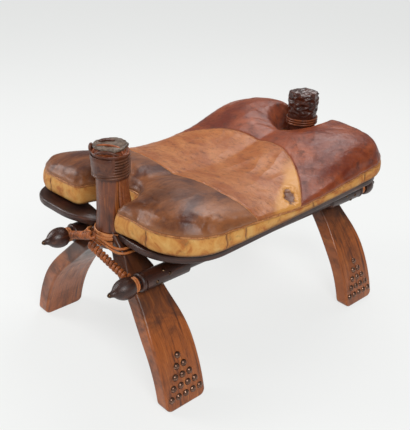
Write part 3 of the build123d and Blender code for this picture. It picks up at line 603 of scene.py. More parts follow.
class STOOL_OT_lashings(bpy.types.Operator):
    """Leather on the thongs, bindings and whipped ties"""

    bl_idname = "stool.lashings"
    bl_label = "Lashings"

    def execute(self, context):
        leather = context.scene.stool_leather
        thong = worn_leather(
            "rawhide_thong", leather.thong_orange, linear("#c98450"), linear("#5a301b"),
            patch=24, gloss=0.42, crease=5, crease_height=0.0005, coat=0.1,
        )
        cord = worn_leather(
            "twisted_hide_cord", linear("#6d3c22"), leather.thong_orange, linear("#2f170e"),
            patch=14, gloss=0.42, crease=4, crease_height=0.0005, coat=0.1,
        )
        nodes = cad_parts
        dress([n for n in nodes if n.endswith("_thong")], thong)
        dress([n for n in nodes if n.endswith("_tie_whipping") or n == "tie_cores"], cord)
        binding = worn_leather(
            "hide_binding", linear("#4d2a1b"), linear("#74452c"), linear("#2a150e"),
            patch=20, gloss=0.36, crease=5, crease_height=0.0004,
        )
        dress(["front_post_binding"], binding)
        dress(["rear_post_binding"], worn_leather(
            "red_hide_binding", linear("#5e2a15"), linear("#8c4a28"), linear("#2f150c"),
            patch=20, gloss=0.36, crease=5, crease_height=0.0004, seed=3.3,
        ))
        self.bands(thong)
        return {"FINISHED"}

    def bands(self, hide):
        """Three flat turns of hide round the outer half of the front crossing, over its thong."""
        half_thick = 0.0019
        half_wide = 0.0042
        start = radians(92)
        sweep = radians(176)
        way = Vector((cos(start), sin(start), 0))
        for number, (height, tilt, reach) in enumerate((
            (0.2775, 0.03, 0.0352), (0.2862, -0.05, 0.0360), (0.2950, 0.04, 0.0346)
        )):
            bm = bmesh.new()
            bmesh.ops.create_circle(bm, cap_ends=True, radius=1.0, segments=14)
            centre = Vector((FRONT_STATION, 0, height))
            for vert in bm.verts:
                out = reach + vert.co.x * half_thick
                vert.co = centre + way * out + Vector((0, 0, vert.co.y * half_wide))
            bmesh.ops.spin(
                bm, geom=bm.verts[:] + bm.edges[:] + bm.faces[:], cent=centre, axis=(0, 0, 1),
                angle=sweep, steps=44,
            )
            bmesh.ops.recalc_face_normals(bm, faces=bm.faces)
            piece = piece_from(
                bm, f"front_crossing_band_{number + 1}", hide, "frame"
            )
            points = points_of(piece.data)
            points[:, 2] += tilt * points[:, 1] + 0.0006 * cloud(points, 0.02, number + 2)
            lumps = 0.0005 * cloud(points, 0.015, 9)
            put_points(piece.data, push_round(points, FRONT_STATION, lumps))


# Post covers

def turned_shell(profile, station, segments, sweep=2 * pi, start=0.0):
    """Spin a profile of radii and heights round a post, from an angle through a sweep."""
    bm = bmesh.new()
    way = Vector((cos(start), sin(start), 0))
    middle = Vector((station, 0, 0))
    points = [bm.verts.new(middle + way * r + Vector((0, 0, z))) for r, z in profile]
    edges = [bm.edges.new(pair) for pair in zip(points, points[1:])]
    bmesh.ops.spin(
        bm, geom=points + edges, cent=middle, axis=(0, 0, 1), angle=sweep, steps=segments,
        use_merge=sweep == 2 * pi,
    )
    bmesh.ops.remove_doubles(bm, verts=bm.verts, dist=SAME_POINT)
    bmesh.ops.recalc_face_normals(bm, faces=bm.faces)
    return bm


def round_of(points, station):
    """Angle and distance of points round a post."""
    across = points[:, 0] - station
    return np.arctan2(points[:, 1], across), np.hypot(across, points[:, 1])


def push_round(points, station, amount):
    """Move points away from a post's axis."""
    angle, reach = round_of(points, station)
    moved = points.copy()
    share = smooth_step(reach, 0.002, 0.02)
    moved[:, 0] += np.cos(angle) * amount * share
    moved[:, 1] += np.sin(angle) * amount * share
    return moved


def profile_curve(knots, spacing=0.0015):
    """A profile through knots of radius and height in millimetres, cut into short steps."""
    knots = np.array(knots) / 1000
    steps = []
    for start, end in zip(knots, knots[1:]):
        count = max(1, round(float(np.hypot(*(end - start))) / spacing))
        steps.extend(start + (end - start) * index / count for index in range(count))
    steps.append(knots[-1])
    return [tuple(float(v) for v in step) for step in steps]


class STOOL_OT_front_cover(bpy.types.Operator):
    """Leather sleeve, closed cap, overlap and pleated skirt of the front post"""

    bl_idname = "stool.front_cover"
    bl_label = "Front post cover"

    def execute(self, context):
        leather = context.scene.stool_leather
        hide = worn_leather(
            "oiled_cover_leather", leather.cover_brown, linear("#6f3f27"), linear("#2a140c"),
            patch=30, gloss=0.36, crease=8, crease_height=0.0010, coat=0.2, seed=1.7,
        )
        sleeve = profile_curve([
            (33.0, 409.4), (35.0, 409.2), (35.6, 411.0), (34.6, 416.0), (33.4, 420.0),
            (33.4, 448.0), (35.2, 452.0), (37.0, 455.0), (37.2, 458.0), (35.6, 460.2),
            (31.8, 459.4), (30.8, 463.0), (31.8, 466.5), (33.4, 469.0), (33.0, 472.4),
            (29.6, 474.6), (22.0, 475.0), (10.0, 474.2), (0.0, 474.0),
        ])
        piece = piece_from(
            turned_shell(sleeve, FRONT_STATION, 120), "front_cover_leather", hide, "frame",
            ["front_post_cover"],
        )
        mesh = piece.data
        points = points_of(mesh)
        reach = round_of(points, FRONT_STATION)[1]
        height = points[:, 2] * 1000
        head = smooth_step(height, 456, 464)
        folds = np.abs(cloud(points * (1, 1, 0.35), 0.011, 2)) - 0.35
        crumple = cloud(points, 0.016, 5)
        amount = 0.0008 * crumple * (1 - head) + head * (0.0030 * folds + 0.0024 * crumple)
        moved = push_round(points, FRONT_STATION, amount)
        top = smooth_step(height, 472, 474) * smooth_step(0.034 - reach, 0.0, 0.006)
        creased = 0.0034 * np.abs(cloud(points * (1, 0.5, 1), 0.017, 8))
        moved[:, 2] -= top * (creased + 0.0006)
        moved[:, 2] = np.minimum(moved[:, 2], COVER_CEILING)
        put_points(mesh, moved)
        mesh.materials.append(worn_leather(
            "greyed_cap_leather", linear("#4d3b30"), linear("#7d6a5c"), linear("#2b1a12"),
            patch=14, gloss=0.4, crease=7, crease_height=0.0009, seed=2.6,
        ))
        mesh.materials.append(worn_leather(
            "shaded_neck_leather", linear("#6f3117"), linear("#9a5128"), linear("#35170c"),
            patch=14, gloss=0.3, crease=7, crease_height=0.0009, seed=4.6,
        ))
        cap_from = 466.8
        neck_from = 459.6
        for face in mesh.polygons:
            level = face.center.z * 1000
            face.material_index = 1 if level > cap_from else 2 if level > neck_from else 0
        self.overlap(hide)
        self.ties(hide)
        self.skirt()
        return {"FINISHED"}

    def overlap(self, hide):
        """The sleeve's free end, wrapped over the binding on the left."""
        profile = profile_curve([
            (34.6, 410.4), (35.2, 413.5), (36.4, 422.0), (37.8, 434.0), (38.8, 446.0), (37.6, 453.5)
        ])
        bm = turned_shell(profile, FRONT_STATION, 60, sweep=radians(128), start=radians(118))
        piece = piece_from(bm, "front_cover_overlap", hide, "frame")
        points = points_of(piece.data)
        angle = round_of(points, FRONT_STATION)[0]
        free = smooth_step(np.mod(angle, 2 * pi), radians(232), radians(246))
        amount = 0.0007 * cloud(points, 0.018, 3) - 0.0012 * free
        put_points(piece.data, push_round(points, FRONT_STATION, amount))
        give_wall(piece, 0.0014)

    def ties(self, hide):
        """A thong over the cap, a knot on the left and a folded tongue behind."""
        orange = worn_leather(
            "red_tie_leather", linear("#8c4325"), linear("#b0643a"), linear("#3c1a10"),
            patch=12, gloss=0.34, crease=4, crease_height=0.0004,
        )
        runs = {
            "front_cap_thong": (orange, 0.0021, [
                (-348.0, 10.5, 461.0), (-345.5, 8.0, 469.0), (-338.0, 3.0, 474.4),
                (-327.0, -12.0, 475.2), (-318.0, -24.0, 474.2), (-313.5, -33.0, 469.0),
                (-313.0, -36.5, 461.5)]),
            "front_cap_thong_second": (hide, 0.0024, [
                (-349.5, 3.0, 458.5), (-350.2, -6.0, 463.5), (-344.0, -18.0, 468.0),
                (-333.0, -30.0, 466.5), (-322.0, -36.5, 461.0)]),
            "front_cover_knot": (hide, 0.0034, [
                (-340.0, 27.0, 451.0), (-344.5, 24.5, 458.0), (-343.5, 26.5, 466.0),
                (-338.0, 29.5, 468.5), (-335.5, 31.5, 462.0), (-338.5, 29.5, 452.0)]),
            "front_cap_tongue": (hide, 0.0030, [
                (-326.0, 22.0, 473.0), (-318.0, 20.0, 474.6), (-308.0, 14.0, 474.8),
                (-300.0, 6.0, 473.0)]),
        }
        for name, (material, radius, route) in runs.items():
            thong_piece(name, route, radius, material)

    def skirt(self):
        """The pleated flap below the sleeve, flared along its hem."""
        hide = worn_leather(
            "pleated_skirt_leather", linear("#7c4124"), linear("#98572f"), linear("#341a10"),
            patch=18, gloss=0.36, crease=6, crease_height=0.0006, seed=4.2,
        )
        profile = profile_curve([
            (31.8, 413.0), (31.9, 392.0), (32.6, 376.0), (34.2, 364.0), (36.2, 354.0),
            (37.0, 351.6)
        ])
        bm = turned_shell(profile, FRONT_STATION, 90, sweep=radians(180), start=radians(-100))
        piece = piece_from(
            bm, "front_post_pleats", hide, "frame", ["front_post_skirt"]
        )
        points = points_of(piece.data)
        angle = round_of(points, FRONT_STATION)[0]
        fall = smooth_step(0.402 - points[:, 2], 0.0, 0.045)
        # 26 pleats to a whole turn, unevenly spaced, deeper towards the hem
        pleats = np.cos(angle * 26 + 1.5 * np.sin(angle * 5))
        amount = (0.0004 + 0.0011 * fall) * pleats
        put_points(piece.data, push_round(points, FRONT_STATION, amount))
        give_wall(piece, 0.0016)


def thong_piece(name, route, radius, material):
    """A short strip of hide: a smooth, slightly lumpy curve along a route in millimetres."""
    curve = bpy.data.curves.new(name, "CURVE")
    curve.dimensions = "3D"
    curve.resolution_u = 6
    curve.bevel_depth = radius
    curve.bevel_resolution = 3
    curve.use_fill_caps = True
    spline = curve.splines.new("NURBS")
    spline.points.add(len(route) - 1)
    for point, place in zip(spline.points, route):
        point.co = (*[v / 1000 for v in place], 1)
    spline.points[0].radius = 0.75
    spline.points[-1].radius = 0.6
    spline.order_u = 3
    spline.use_endpoint_u = True
    mesh = mesh_of_curve(curve)
    bm = merged(mesh)
    bmesh.ops.recalc_face_normals(bm, faces=bm.faces)
    bm.to_mesh(mesh)
    bm.free()
    points = points_of(mesh)
    lump_share = 0.1575
    lumps = cloud(points, radius * 4, 6) * radius * lump_share
    put_points(mesh, points + normals_of(mesh) * lumps[:, None])
    finish_piece(mesh, name, material, "frame")


class STOOL_OT_rear_cover(bpy.types.Operator):
    """Crumpled leather cover of the rear post"""

    bl_idname = "stool.rear_cover"
    bl_label = "Rear post cover"

    def execute(self, context):
        hide = worn_leather(
            "crumpled_cover_leather", linear("#2f130d"), linear("#552a1b"), linear("#150907"),
            patch=22, gloss=0.27, crease=9, crease_height=0.0014, coat=0.35, seed=7.3,
        )
        profile = profile_curve([
            (33.0, 347.4), (35.2, 347.2), (35.0, 352.0), (33.4, 360.0), (33.2, 384.0),
            (33.0, 412.0), (33.6, 420.0), (34.4, 434.0), (35.4, 448.0), (35.6, 462.0),
            (34.0, 470.0), (30.0, 474.0), (20.0, 474.8), (9.0, 474.0), (0.0, 473.6),
        ])
        piece = piece_from(
            turned_shell(profile, REAR_STATION, 130), "rear_cover_leather", hide, "frame",
            ["rear_post_cover"],
        )
        points = points_of(piece.data)
        height = points[:, 2] * 1000
        free = smooth_step(height, 416, 428)
        folds = 1 - 2.2 * np.abs(cloud(points * (1, 1, 1.7), 0.017, 11))
        crumple = cloud(points, 0.010, 12)
        amount = 0.0005 * crumple * (1 - free) + free * (0.0022 * folds + 0.0007 * crumple)
        amount -= free * 0.0012
        moved = push_round(points, REAR_STATION, amount)
        top = smooth_step(height, 470, 474)
        moved[:, 2] += top * (0.0026 * cloud(points, 0.013, 13) - 0.0014)
        moved[:, 2] = np.minimum(moved[:, 2], COVER_CEILING)
        put_points(piece.data, moved)
        return {"FINISHED"}


# Pad

# The leathers, in the order of their material slots
LOBE, MIDDLE, REAR, BAND, BASE = range(5)
# The panels' joints: where they cross the middle line, how far they bend, and the pad's half width
FRONT_JOINT = -0.139
FRONT_BOW = 0.012
REAR_JOINT = 0.105
REAR_SWEEP = 0.118
HALF_WIDTH = 0.228
# Below these heights the pad is held flat as it swells, and is base leather
HELD_BELOW = 0.007
BASE_BELOW = 0.0062
# Half widths of the top seam's groove, the other grooves and the drawn stitch lines
TOP_GROOVE = 0.0024
SIDE_GROOVE = 0.0022
STITCH_LINE = 0.0017
# The right lobe's inner tip, half its size, and how far it reaches forwards and round the post
TIP_PLACE = (-0.330, -0.050)
TIP_HALF = (0.024, 0.026)
TIP_REACH = (0.008, 0.011)
# Keeps a division by a length from failing
TINY = 1e-9

# The torn hole in the dry skin: its place, half its size and its turn
TEAR_PLACE = (-0.022, -0.203)
TEAR_HALF = (0.0240, 0.0125)
TEAR_TURN = radians(52)


def to_flat(points):
    """Points of the model in the pad's own flat frame: along, across, height over its underside."""
    along = points[:, 0] - FRAME_MIDDLE
    up = points[:, 2] - PAD_UNDERSIDE
    flat = points.copy()
    flat[:, 0] = along * cos(SEAT_PITCH) + up * sin(SEAT_PITCH) + FRAME_MIDDLE
    flat[:, 2] = -along * sin(SEAT_PITCH) + up * cos(SEAT_PITCH)
    return flat


def from_flat(flat):
    """Points of the pad's flat frame, back in the model's frame."""
    along = flat[:, 0] - FRAME_MIDDLE
    points = flat.copy()
    points[:, 0] = along * cos(SEAT_PITCH) - flat[:, 2] * sin(SEAT_PITCH) + FRAME_MIDDLE
    points[:, 2] = along * sin(SEAT_PITCH) + flat[:, 2] * cos(SEAT_PITCH) + PAD_UNDERSIDE
    return points


# The seam between band and top: places along the pad, and its height there
SEAM_PLACES = np.array([-330, -290, -190, -131, -71, -27, 0, 53, 100, 164, 233, 315]) / 1000
SEAM_HEIGHTS = np.array([47, 46, 38, 33, 28, 23.5, 22, 23, 26, 29, 34, 35]) / 1000


def above_seam(flat):
    """Height over the seam between the side band and the top."""
    return flat[:, 2] - np.interp(flat[:, 0], SEAM_PLACES, SEAM_HEIGHTS)


def from_front_joint(flat):
    """Distance behind the front panel's joint, which bows a little forwards in the middle."""
    return flat[:, 0] - FRONT_JOINT + FRONT_BOW * (1 - (np.abs(flat[:, 1]) / HALF_WIDTH) ** 2)


def from_rear_joint(flat):
    """Distance behind the curved joint of the rear panel; above 0 on the panel."""
    return flat[:, 0] - REAR_JOINT + REAR_SWEEP * (np.abs(flat[:, 1]) / HALF_WIDTH) ** 2.2


def dryness(flat):
    """Share of dry, undyed skin in the middle panel: its right flank before the rear panel."""
    reach = 0.030 + 0.045 * smooth_step(-flat[:, 1], 0.14, 0.21)
    near = smooth_step(from_rear_joint(flat) + reach, -0.016, 0.012)
    return near * smooth_step(-flat[:, 1], 0.10, 0.16)


def tear_depth(flat):
    """How deep a point lies in the torn hole of the dry skin: below 0 on its curled rim."""
    gap_x = flat[:, 0] - TEAR_PLACE[0]
    gap_y = flat[:, 1] - TEAR_PLACE[1]
    along = (gap_x * cos(TEAR_TURN) + gap_y * sin(TEAR_TURN)) / TEAR_HALF[0]
    across = (gap_y * cos(TEAR_TURN) - gap_x * sin(TEAR_TURN)) / TEAR_HALF[1]
    ragged = 0.22 * cloud(flat, 0.007, 21)
    out = np.hypot(along, across) + ragged
    return np.exp(-(out / 0.9) ** 4) - 0.45 * np.exp(-((out - 1.35) / 0.28) ** 2)


# Upright seams in the side band: place along and across, and the band's way there in degrees
BAND_SEAMS = (
    (-0.316, -0.119, -65), (-0.219, -0.217, -12), (-0.172, -0.222, 0), (0.025, -0.230, 0),
    (0.200, -0.228, 0), (-0.328, 0.190, 90), (-0.150, 0.225, 0), (0.110, 0.225, 0),
    (0.285, -0.110, 90), (0.285, 0.110, 90),
)
# An upright seam reaches no further than this
BAND_SEAM_REACH = 0.045


def from_band_seam(flat):
    """Distance along the band from the nearest upright seam."""
    nearest = np.full(len(flat), 1.0)
    for along, across, way in BAND_SEAMS:
        gap_x = flat[:, 0] - along
        gap_y = flat[:, 1] - across
        wave = 0.0012 * np.sin(flat[:, 2] * 260 + along * 90)
        gap = np.abs(gap_x * cos(radians(way)) + gap_y * sin(radians(way)) + wave)
        close = np.hypot(gap_x, gap_y) < BAND_SEAM_REACH
        nearest = np.where(close, np.minimum(nearest, gap), nearest)
    return nearest


class STOOL_OT_pad(bpy.types.Operator):
    """The loose leather pad: swollen by simulation, then seamed, creased and dressed"""

    bl_idname = "stool.pad"
    bl_label = "Pad"

    def execute(self, context):
        sizes = context.scene.stool_pad
        piece = self.blank(sizes)
        self.lean_lobes(piece, sizes)
        self.swell(context, piece, sizes)
        finer = piece.modifiers.new("finer", "SUBSURF")
        finer.levels = 1
        finer.render_levels = 1
        applied(piece)
        self.wrinkle(piece, sizes)
        top_edges, joint_edges = self.regions(piece, context.scene.stool_leather)
        self.grooves(piece, sizes)
        self.rolls(piece, (
            ("pad_top_seam_roll", top_edges, sizes.cord),
            ("pad_panel_joint_roll", joint_edges, sizes.cord * 0.45),
        ))
        return {"FINISHED"}

    def blank(self, sizes):
        """An even mesh of the pad's filling."""
        bm = merged(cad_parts["pad_filling"].data)
        covered = [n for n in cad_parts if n.startswith("pad_")]
        piece = piece_from(bm, "leather_pad", None, "cushion", covered)
        even = piece.modifiers.new("even", "REMESH")
        even.mode = "VOXEL"
        even.voxel_size = sizes.voxel
        return applied(piece)

    def lean_lobes(self, piece, sizes):
        """Lean the left front lobe outwards and the right one round the post."""
        mesh = piece.data
        flat = lean_out(to_flat(points_of(mesh)), sizes.lobe_reach)
        away_x = (flat[:, 0] - TIP_PLACE[0]) / TIP_HALF[0]
        away_y = (flat[:, 1] - TIP_PLACE[1]) / TIP_HALF[1]
        tip = np.exp(-(away_x ** 2 + away_y ** 2))
        flat[:, 0] -= TIP_REACH[0] * tip
        flat[:, 1] += TIP_REACH[1] * tip
        put_points(mesh, from_flat(flat))

    def swell(self, context, piece, sizes):
        """Swell the pad with the cloth simulation; its underside stays flat."""
        mesh = piece.data
        start = points_of(mesh)
        flat = to_flat(start)
        held = [int(i) for i in np.nonzero(flat[:, 2] < HELD_BELOW)[0]]
        last_frame = 20
        group = piece.vertex_groups.new(name="held")
        group.add(held, 1.0, "REPLACE")
        cloth = piece.modifiers.new("cloth", "CLOTH")
        cloth.settings.quality = 5
        cloth.settings.use_pressure = True
        cloth.settings.uniform_pressure_force = sizes.pressure
        cloth.settings.vertex_group_mass = "held"
        cloth.settings.effector_weights.gravity = 0
        cloth.point_cache.frame_start = 1
        cloth.point_cache.frame_end = last_frame
        for step in range(1, last_frame + 1):
            context.scene.frame_set(step)
        graph = context.evaluated_depsgraph_get()
        swollen = points_of(piece.evaluated_get(graph).data)
        context.scene.frame_set(1)
        piece.modifiers.clear()
        move = swollen - start
        size = np.linalg.norm(move, axis=1)
        room = sizes.swell
        share = np.where(size > TINY, room * np.tanh(size / room) / np.maximum(size, TINY), 0)
        put_points(mesh, start + move * share[:, None])

    def wrinkle(self, piece, sizes):
        """Let the leather's thickness out, and wrinkle the top and the band."""
        mesh = piece.data
        points = points_of(mesh)
        flat = to_flat(points)
        top = smooth_step(above_seam(flat), 0.004, 0.03)
        foot = smooth_step(flat[:, 2], 0.004, 0.012)
        broad = cloud(flat * (1, 1, 0.5), 0.110, 1) * 0.0026 * top
        calm = 0.35 + 0.65 * smooth_step(cloud(flat, 0.12, 9), 0.0, 0.7)
        fine = -np.abs(cloud(flat * (0.45, 1, 1), 0.034, 4)) * sizes.wrinkle * top * calm
        puckers = cloud(flat * (1, 1, 0.15), 0.020, 7) * 0.0008 * (1 - top)
        proud = 0.0022
        amount = proud * foot + (broad + fine + puckers) * foot
        put_points(mesh, points + normals_of(mesh) * amount[:, None])

    def regions(self, piece, leather):
        """Give each part of the pad its leather; the edges along the top seam and the joints."""
        mesh = piece.data
        mesh.materials.clear()
        for material in self.leathers(leather):
            mesh.materials.append(material)
        centres = np.empty(len(mesh.polygons) * 3)
        mesh.polygons.foreach_get("center", centres)
        flat = to_flat(centres.reshape(-1, 3))
        above = above_seam(flat)
        index = np.where(from_rear_joint(flat) > 0, REAR, MIDDLE)
        index = np.where(from_front_joint(flat) < 0, LOBE, index)
        index = np.where(above < 0, BAND, index)
        index = np.where(flat[:, 2] < BASE_BELOW, BASE, index)
        mesh.polygons.foreach_set("material_index", index.astype(np.int32))
        return self.snap(mesh, index)

    def snap(self, mesh, index):
        """Move the points on the border of two leathers onto the seam's line; the edges there."""
        edges = np.empty(len(mesh.loops), dtype=np.int32)
        mesh.loops.foreach_get("edge_index", edges)
        starts = np.empty(len(mesh.polygons), dtype=np.int32)
        totals = np.empty(len(mesh.polygons), dtype=np.int32)
        mesh.polygons.foreach_get("loop_start", starts)
        mesh.polygons.foreach_get("loop_total", totals)
        owner = np.repeat(np.arange(len(mesh.polygons)), totals)
        # The first and the last leather that meet at each edge
        low = np.full(len(mesh.edges), BASE + 1)
        high = np.full(len(mesh.edges), -1)
        np.minimum.at(low, edges, index[owner])
        np.maximum.at(high, edges, index[owner])
        ends = np.empty(len(mesh.edges) * 2, dtype=np.int32)
        mesh.edges.foreach_get("vertices", ends)
        ends = ends.reshape(-1, 2)
        top_edges = ends[(low < BAND) & (high == BAND)]
        joint_edges = ends[(low < BAND) & (high < BAND) & (low != high)]
        points = points_of(mesh)
        normals = normals_of(mesh)
        step = 1e-4
        least_slope = 0.15
        longest_move = 0.002
        for pairs, measure in (
            (top_edges, above_seam),
            (ends[(low == LOBE) & (high == MIDDLE)], from_front_joint),
            (ends[(low == MIDDLE) & (high == REAR)], from_rear_joint),
        ):
            chosen = np.unique(pairs)
            for _ in range(3):
                at = points[chosen]
                value = measure(to_flat(at))
                slope = np.empty_like(at)
                for axis in range(3):
                    shift = np.zeros(3)
                    shift[axis] = step
                    slope[:, axis] = (measure(to_flat(at + shift)) - value) / step
                normal = normals[chosen]
                slope -= normal * (slope * normal).sum(axis=1)[:, None]
                square = np.maximum((slope ** 2).sum(axis=1), least_slope)
                move = -slope * (value / square)[:, None]
                size = np.linalg.norm(move, axis=1)
                move *= np.minimum(1, longest_move / np.maximum(size, TINY))[:, None]
                points[chosen] = at + move
        put_points(mesh, points)
        return top_edges, joint_edges

    def grooves(self, piece, sizes):
        """Sink the seams, and note how near each point is to one."""
        mesh = piece.data
        points = points_of(mesh)
        flat = to_flat(points)
        above = above_seam(flat)
        top = smooth_step(above, 0.0, 0.006)
        band = smooth_step(-above, 0.001, 0.004) * smooth_step(flat[:, 2], 0.006, 0.012)
        joint = np.minimum(np.abs(from_front_joint(flat)), np.abs(from_rear_joint(flat)))
        upright = from_band_seam(flat)
        sink = np.exp(-(above / TOP_GROOVE) ** 2) * smooth_step(flat[:, 2], 0.012, 0.016)
        sink = np.maximum(sink, 0.8 * np.exp(-(joint / SIDE_GROOVE) ** 2) * top)
        sink = np.maximum(sink, 0.6 * np.exp(-(upright / SIDE_GROOVE) ** 2) * band)
        lip = np.exp(-((above - 0.006) / 0.004) ** 2) * 0.5
        tear = tear_depth(flat) * (flat[:, 2] > 0.012)
        amount = -sizes.groove * sink + sizes.groove * lip - sizes.groove * 1.2 * tear
        put_points(mesh, points + normals_of(mesh) * amount[:, None])
        beside = np.maximum(
            np.exp(-np.maximum(above, 0) / 0.012), 0.7 * np.exp(-joint / 0.006) * top
        )
        line = np.maximum(
            np.exp(-(upright / STITCH_LINE) ** 2) * band,
            np.exp(-((flat[:, 2] - 0.008) / 0.004) ** 2) * 0.8,
        )
        line = np.maximum(line, 0.7 * np.exp(-((above + 0.001) / 0.0016) ** 2))
        line = np.maximum(line, smooth_step(tear, 0.1, 0.6))
        for name, values in (
            ("beside_seam", beside), ("seam_line", line), ("dry_share", dryness(flat)),
        ):
            layer = mesh.attributes.new(name, "FLOAT", "POINT")
            layer.data.foreach_set("value", values.astype(np.float32))

    def rolls(self, piece, kinds):
        """The rolled edge along the top seam and the thinner one along the panels' joints."""
        rolled = worn_leather(
            "rolled_seam_leather", linear("#9a5a30"), linear("#c98a52"), linear("#5a3119"),
            patch=10, gloss=0.5, crease=4, crease_height=0.0005, seed=2.2,
        )
        mesh = piece.data
        points = points_of(mesh)
        normals = normals_of(mesh)
        shortest_run = 12
        for name, pairs, radius in kinds:
            curve = bpy.data.curves.new(name, "CURVE")
            curve.dimensions = "3D"
            curve.bevel_depth = radius
            curve.bevel_resolution = 2
            for chain, closed in chained(pairs):
                if len(chain) < shortest_run:
                    continue
                line = points[chain] + normals[chain] * radius * 0.35
                line = relaxed(line, closed, 6)
                spline = curve.splines.new("POLY")
                spline.points.add(len(line) - 1)
                lumps = cloud(line, 0.009, 3)
                for point, place, lump in zip(spline.points, line, lumps):
                    point.co = (*place, 1)
                    point.radius = 1 + 0.35 * lump
                spline.use_cyclic_u = closed
            finish_piece(mesh_of_curve(curve), name, rolled, "cushion")

    def leathers(self, leather):
        """The five leathers of the pad: lobes, middle, rear, side band and base."""
        lobe = worn_leather(
            "bloomed_lobe_leather", leather.lobe_brown, leather.lobe_grey, linear("#4a2a20"),
            patch=70, gloss=0.42, crease=16, crease_height=0.0010, coat=0.15,
            edge=linear("#9a6640"), seed=3.1, stretch=(0.6, 1.2, 1),
        )
        middle = worn_leather(
            "tan_middle_leather", leather.tan, linear("#b87340"), linear("#5d3119"),
            patch=50, gloss=0.40, crease=12, crease_height=0.0009, edge=linear("#93501f"),
            dry=leather.ochre, seed=5.2, stretch=(1.4, 0.7, 1),
        )
        rear = worn_leather(
            "polished_saddle_leather", leather.saddle_red, leather.saddle_light,
            linear("#431a10"), patch=80, gloss=0.40, crease=18, crease_height=0.0009, coat=0.08,
            edge=linear("#8d5136"), seed=6.4,
        )
        base = worn_leather(
            "folded_base_leather", linear("#5a351d"), linear("#8d5c30"), linear("#2b170d"),
            patch=30, gloss=0.55, crease=9, crease_height=0.0008, coat=0.0, seed=8.8,
        )
        return [lobe, middle, rear, band_leather(leather), base]


def band_leather(leather):
    """Untreated goatskin: ochre, dry and dull, with orange blotches and greenish-grey stains."""
    material, tree, shader = new_material("dry_goatskin_band")
    place = add(tree, "ShaderNodeTexCoord").outputs["Object"]
    # Blotches 34 mm wide, stains 19 mm wide and a grain of 2.2 mm
    blotches, stains, grain = (
        add(
            tree, "ShaderNodeTexNoise",
            {"Vector": place, "Scale": per_metre(size), "Detail": detail,
             "Roughness": roughness, "Distortion": distortion},
        )
        for size, detail, roughness, distortion in (
            (34, 4.0, 0.6, 0.8), (19, 6.0, 0.75, 0.0), (2.2, 3.0, 0.6, 0.0)
        )
    )
    body = add(
        tree, "ShaderNodeValToRGB", {"Fac": blotches.outputs["Fac"]},
        stops=[(0.36, leather.orange), (0.47, leather.ochre), (0.75, linear("#dcb068"))],
    )
    stain_share = add(
        tree, "ShaderNodeValToRGB", {"Fac": stains.outputs["Fac"]},
        stops=[(0.56, (0.0,)), (0.74, (0.7,))],
    )
    stained = add(
        tree, "ShaderNodeMixRGB",
        {"Fac": stain_share.outputs[0], "Color1": body.outputs[0], "Color2": linear("#6f5a35")},
    )
    line = add(tree, "ShaderNodeAttribute", attribute_name="seam_line")
    seamed = add(
        tree, "ShaderNodeMixRGB",
        {"Fac": line.outputs["Fac"], "Color1": stained.outputs[0], "Color2": linear("#56301a")},
    )
    bump = add(
        tree, "ShaderNodeBump",
        {"Strength": 0.5, "Distance": 0.0006, "Height": grain.outputs["Fac"]},
    )
    broad = add(
        tree, "ShaderNodeBump",
        {"Strength": 0.6, "Distance": 0.0016, "Height": blotches.outputs["Fac"],
         "Normal": bump.outputs[0]},
    )
    rough = add(
        tree, "ShaderNodeMapRange",
        {"Value": stains.outputs["Fac"], "To Min": 0.5, "To Max": 0.72},
    )
    lay_on(
        tree, shader, seamed.outputs[0], rough.outputs[0], broad.outputs[0], {"IOR": 1.45}
    )
    return material


def chained(pairs):
    """Join point pairs end to end: lists of points, each with whether it closes."""
    near = {}
    for a, b in pairs:
        near.setdefault(int(a), []).append(int(b))
        near.setdefault(int(b), []).append(int(a))
    used = set()
    chains = []
    starts = [p for p, others in near.items() if len(others) == 1] + list(near)
    for start in starts:
        if start in used:
            continue
        chain = [start]
        used.add(start)
        while True:
            onward = [p for p in near[chain[-1]] if p not in used]
            if not onward:
                break
            chain.append(onward[0])
            used.add(onward[0])
        closed = len(chain) > 2 and chain[0] in near[chain[-1]]
        chains.append((chain, closed))
    return chains


def relaxed(line, closed, rounds):
    """Smooth a line of points."""
    for _ in range(rounds):
        before = np.roll(line, 1, axis=0)
        after = np.roll(line, -1, axis=0)
        eased = line * 0.5 + (before + after) * 0.25
        if not closed:
            eased[0] = line[0]
            eased[-1] = line[-1]
        line = eased
    return line


# Stage

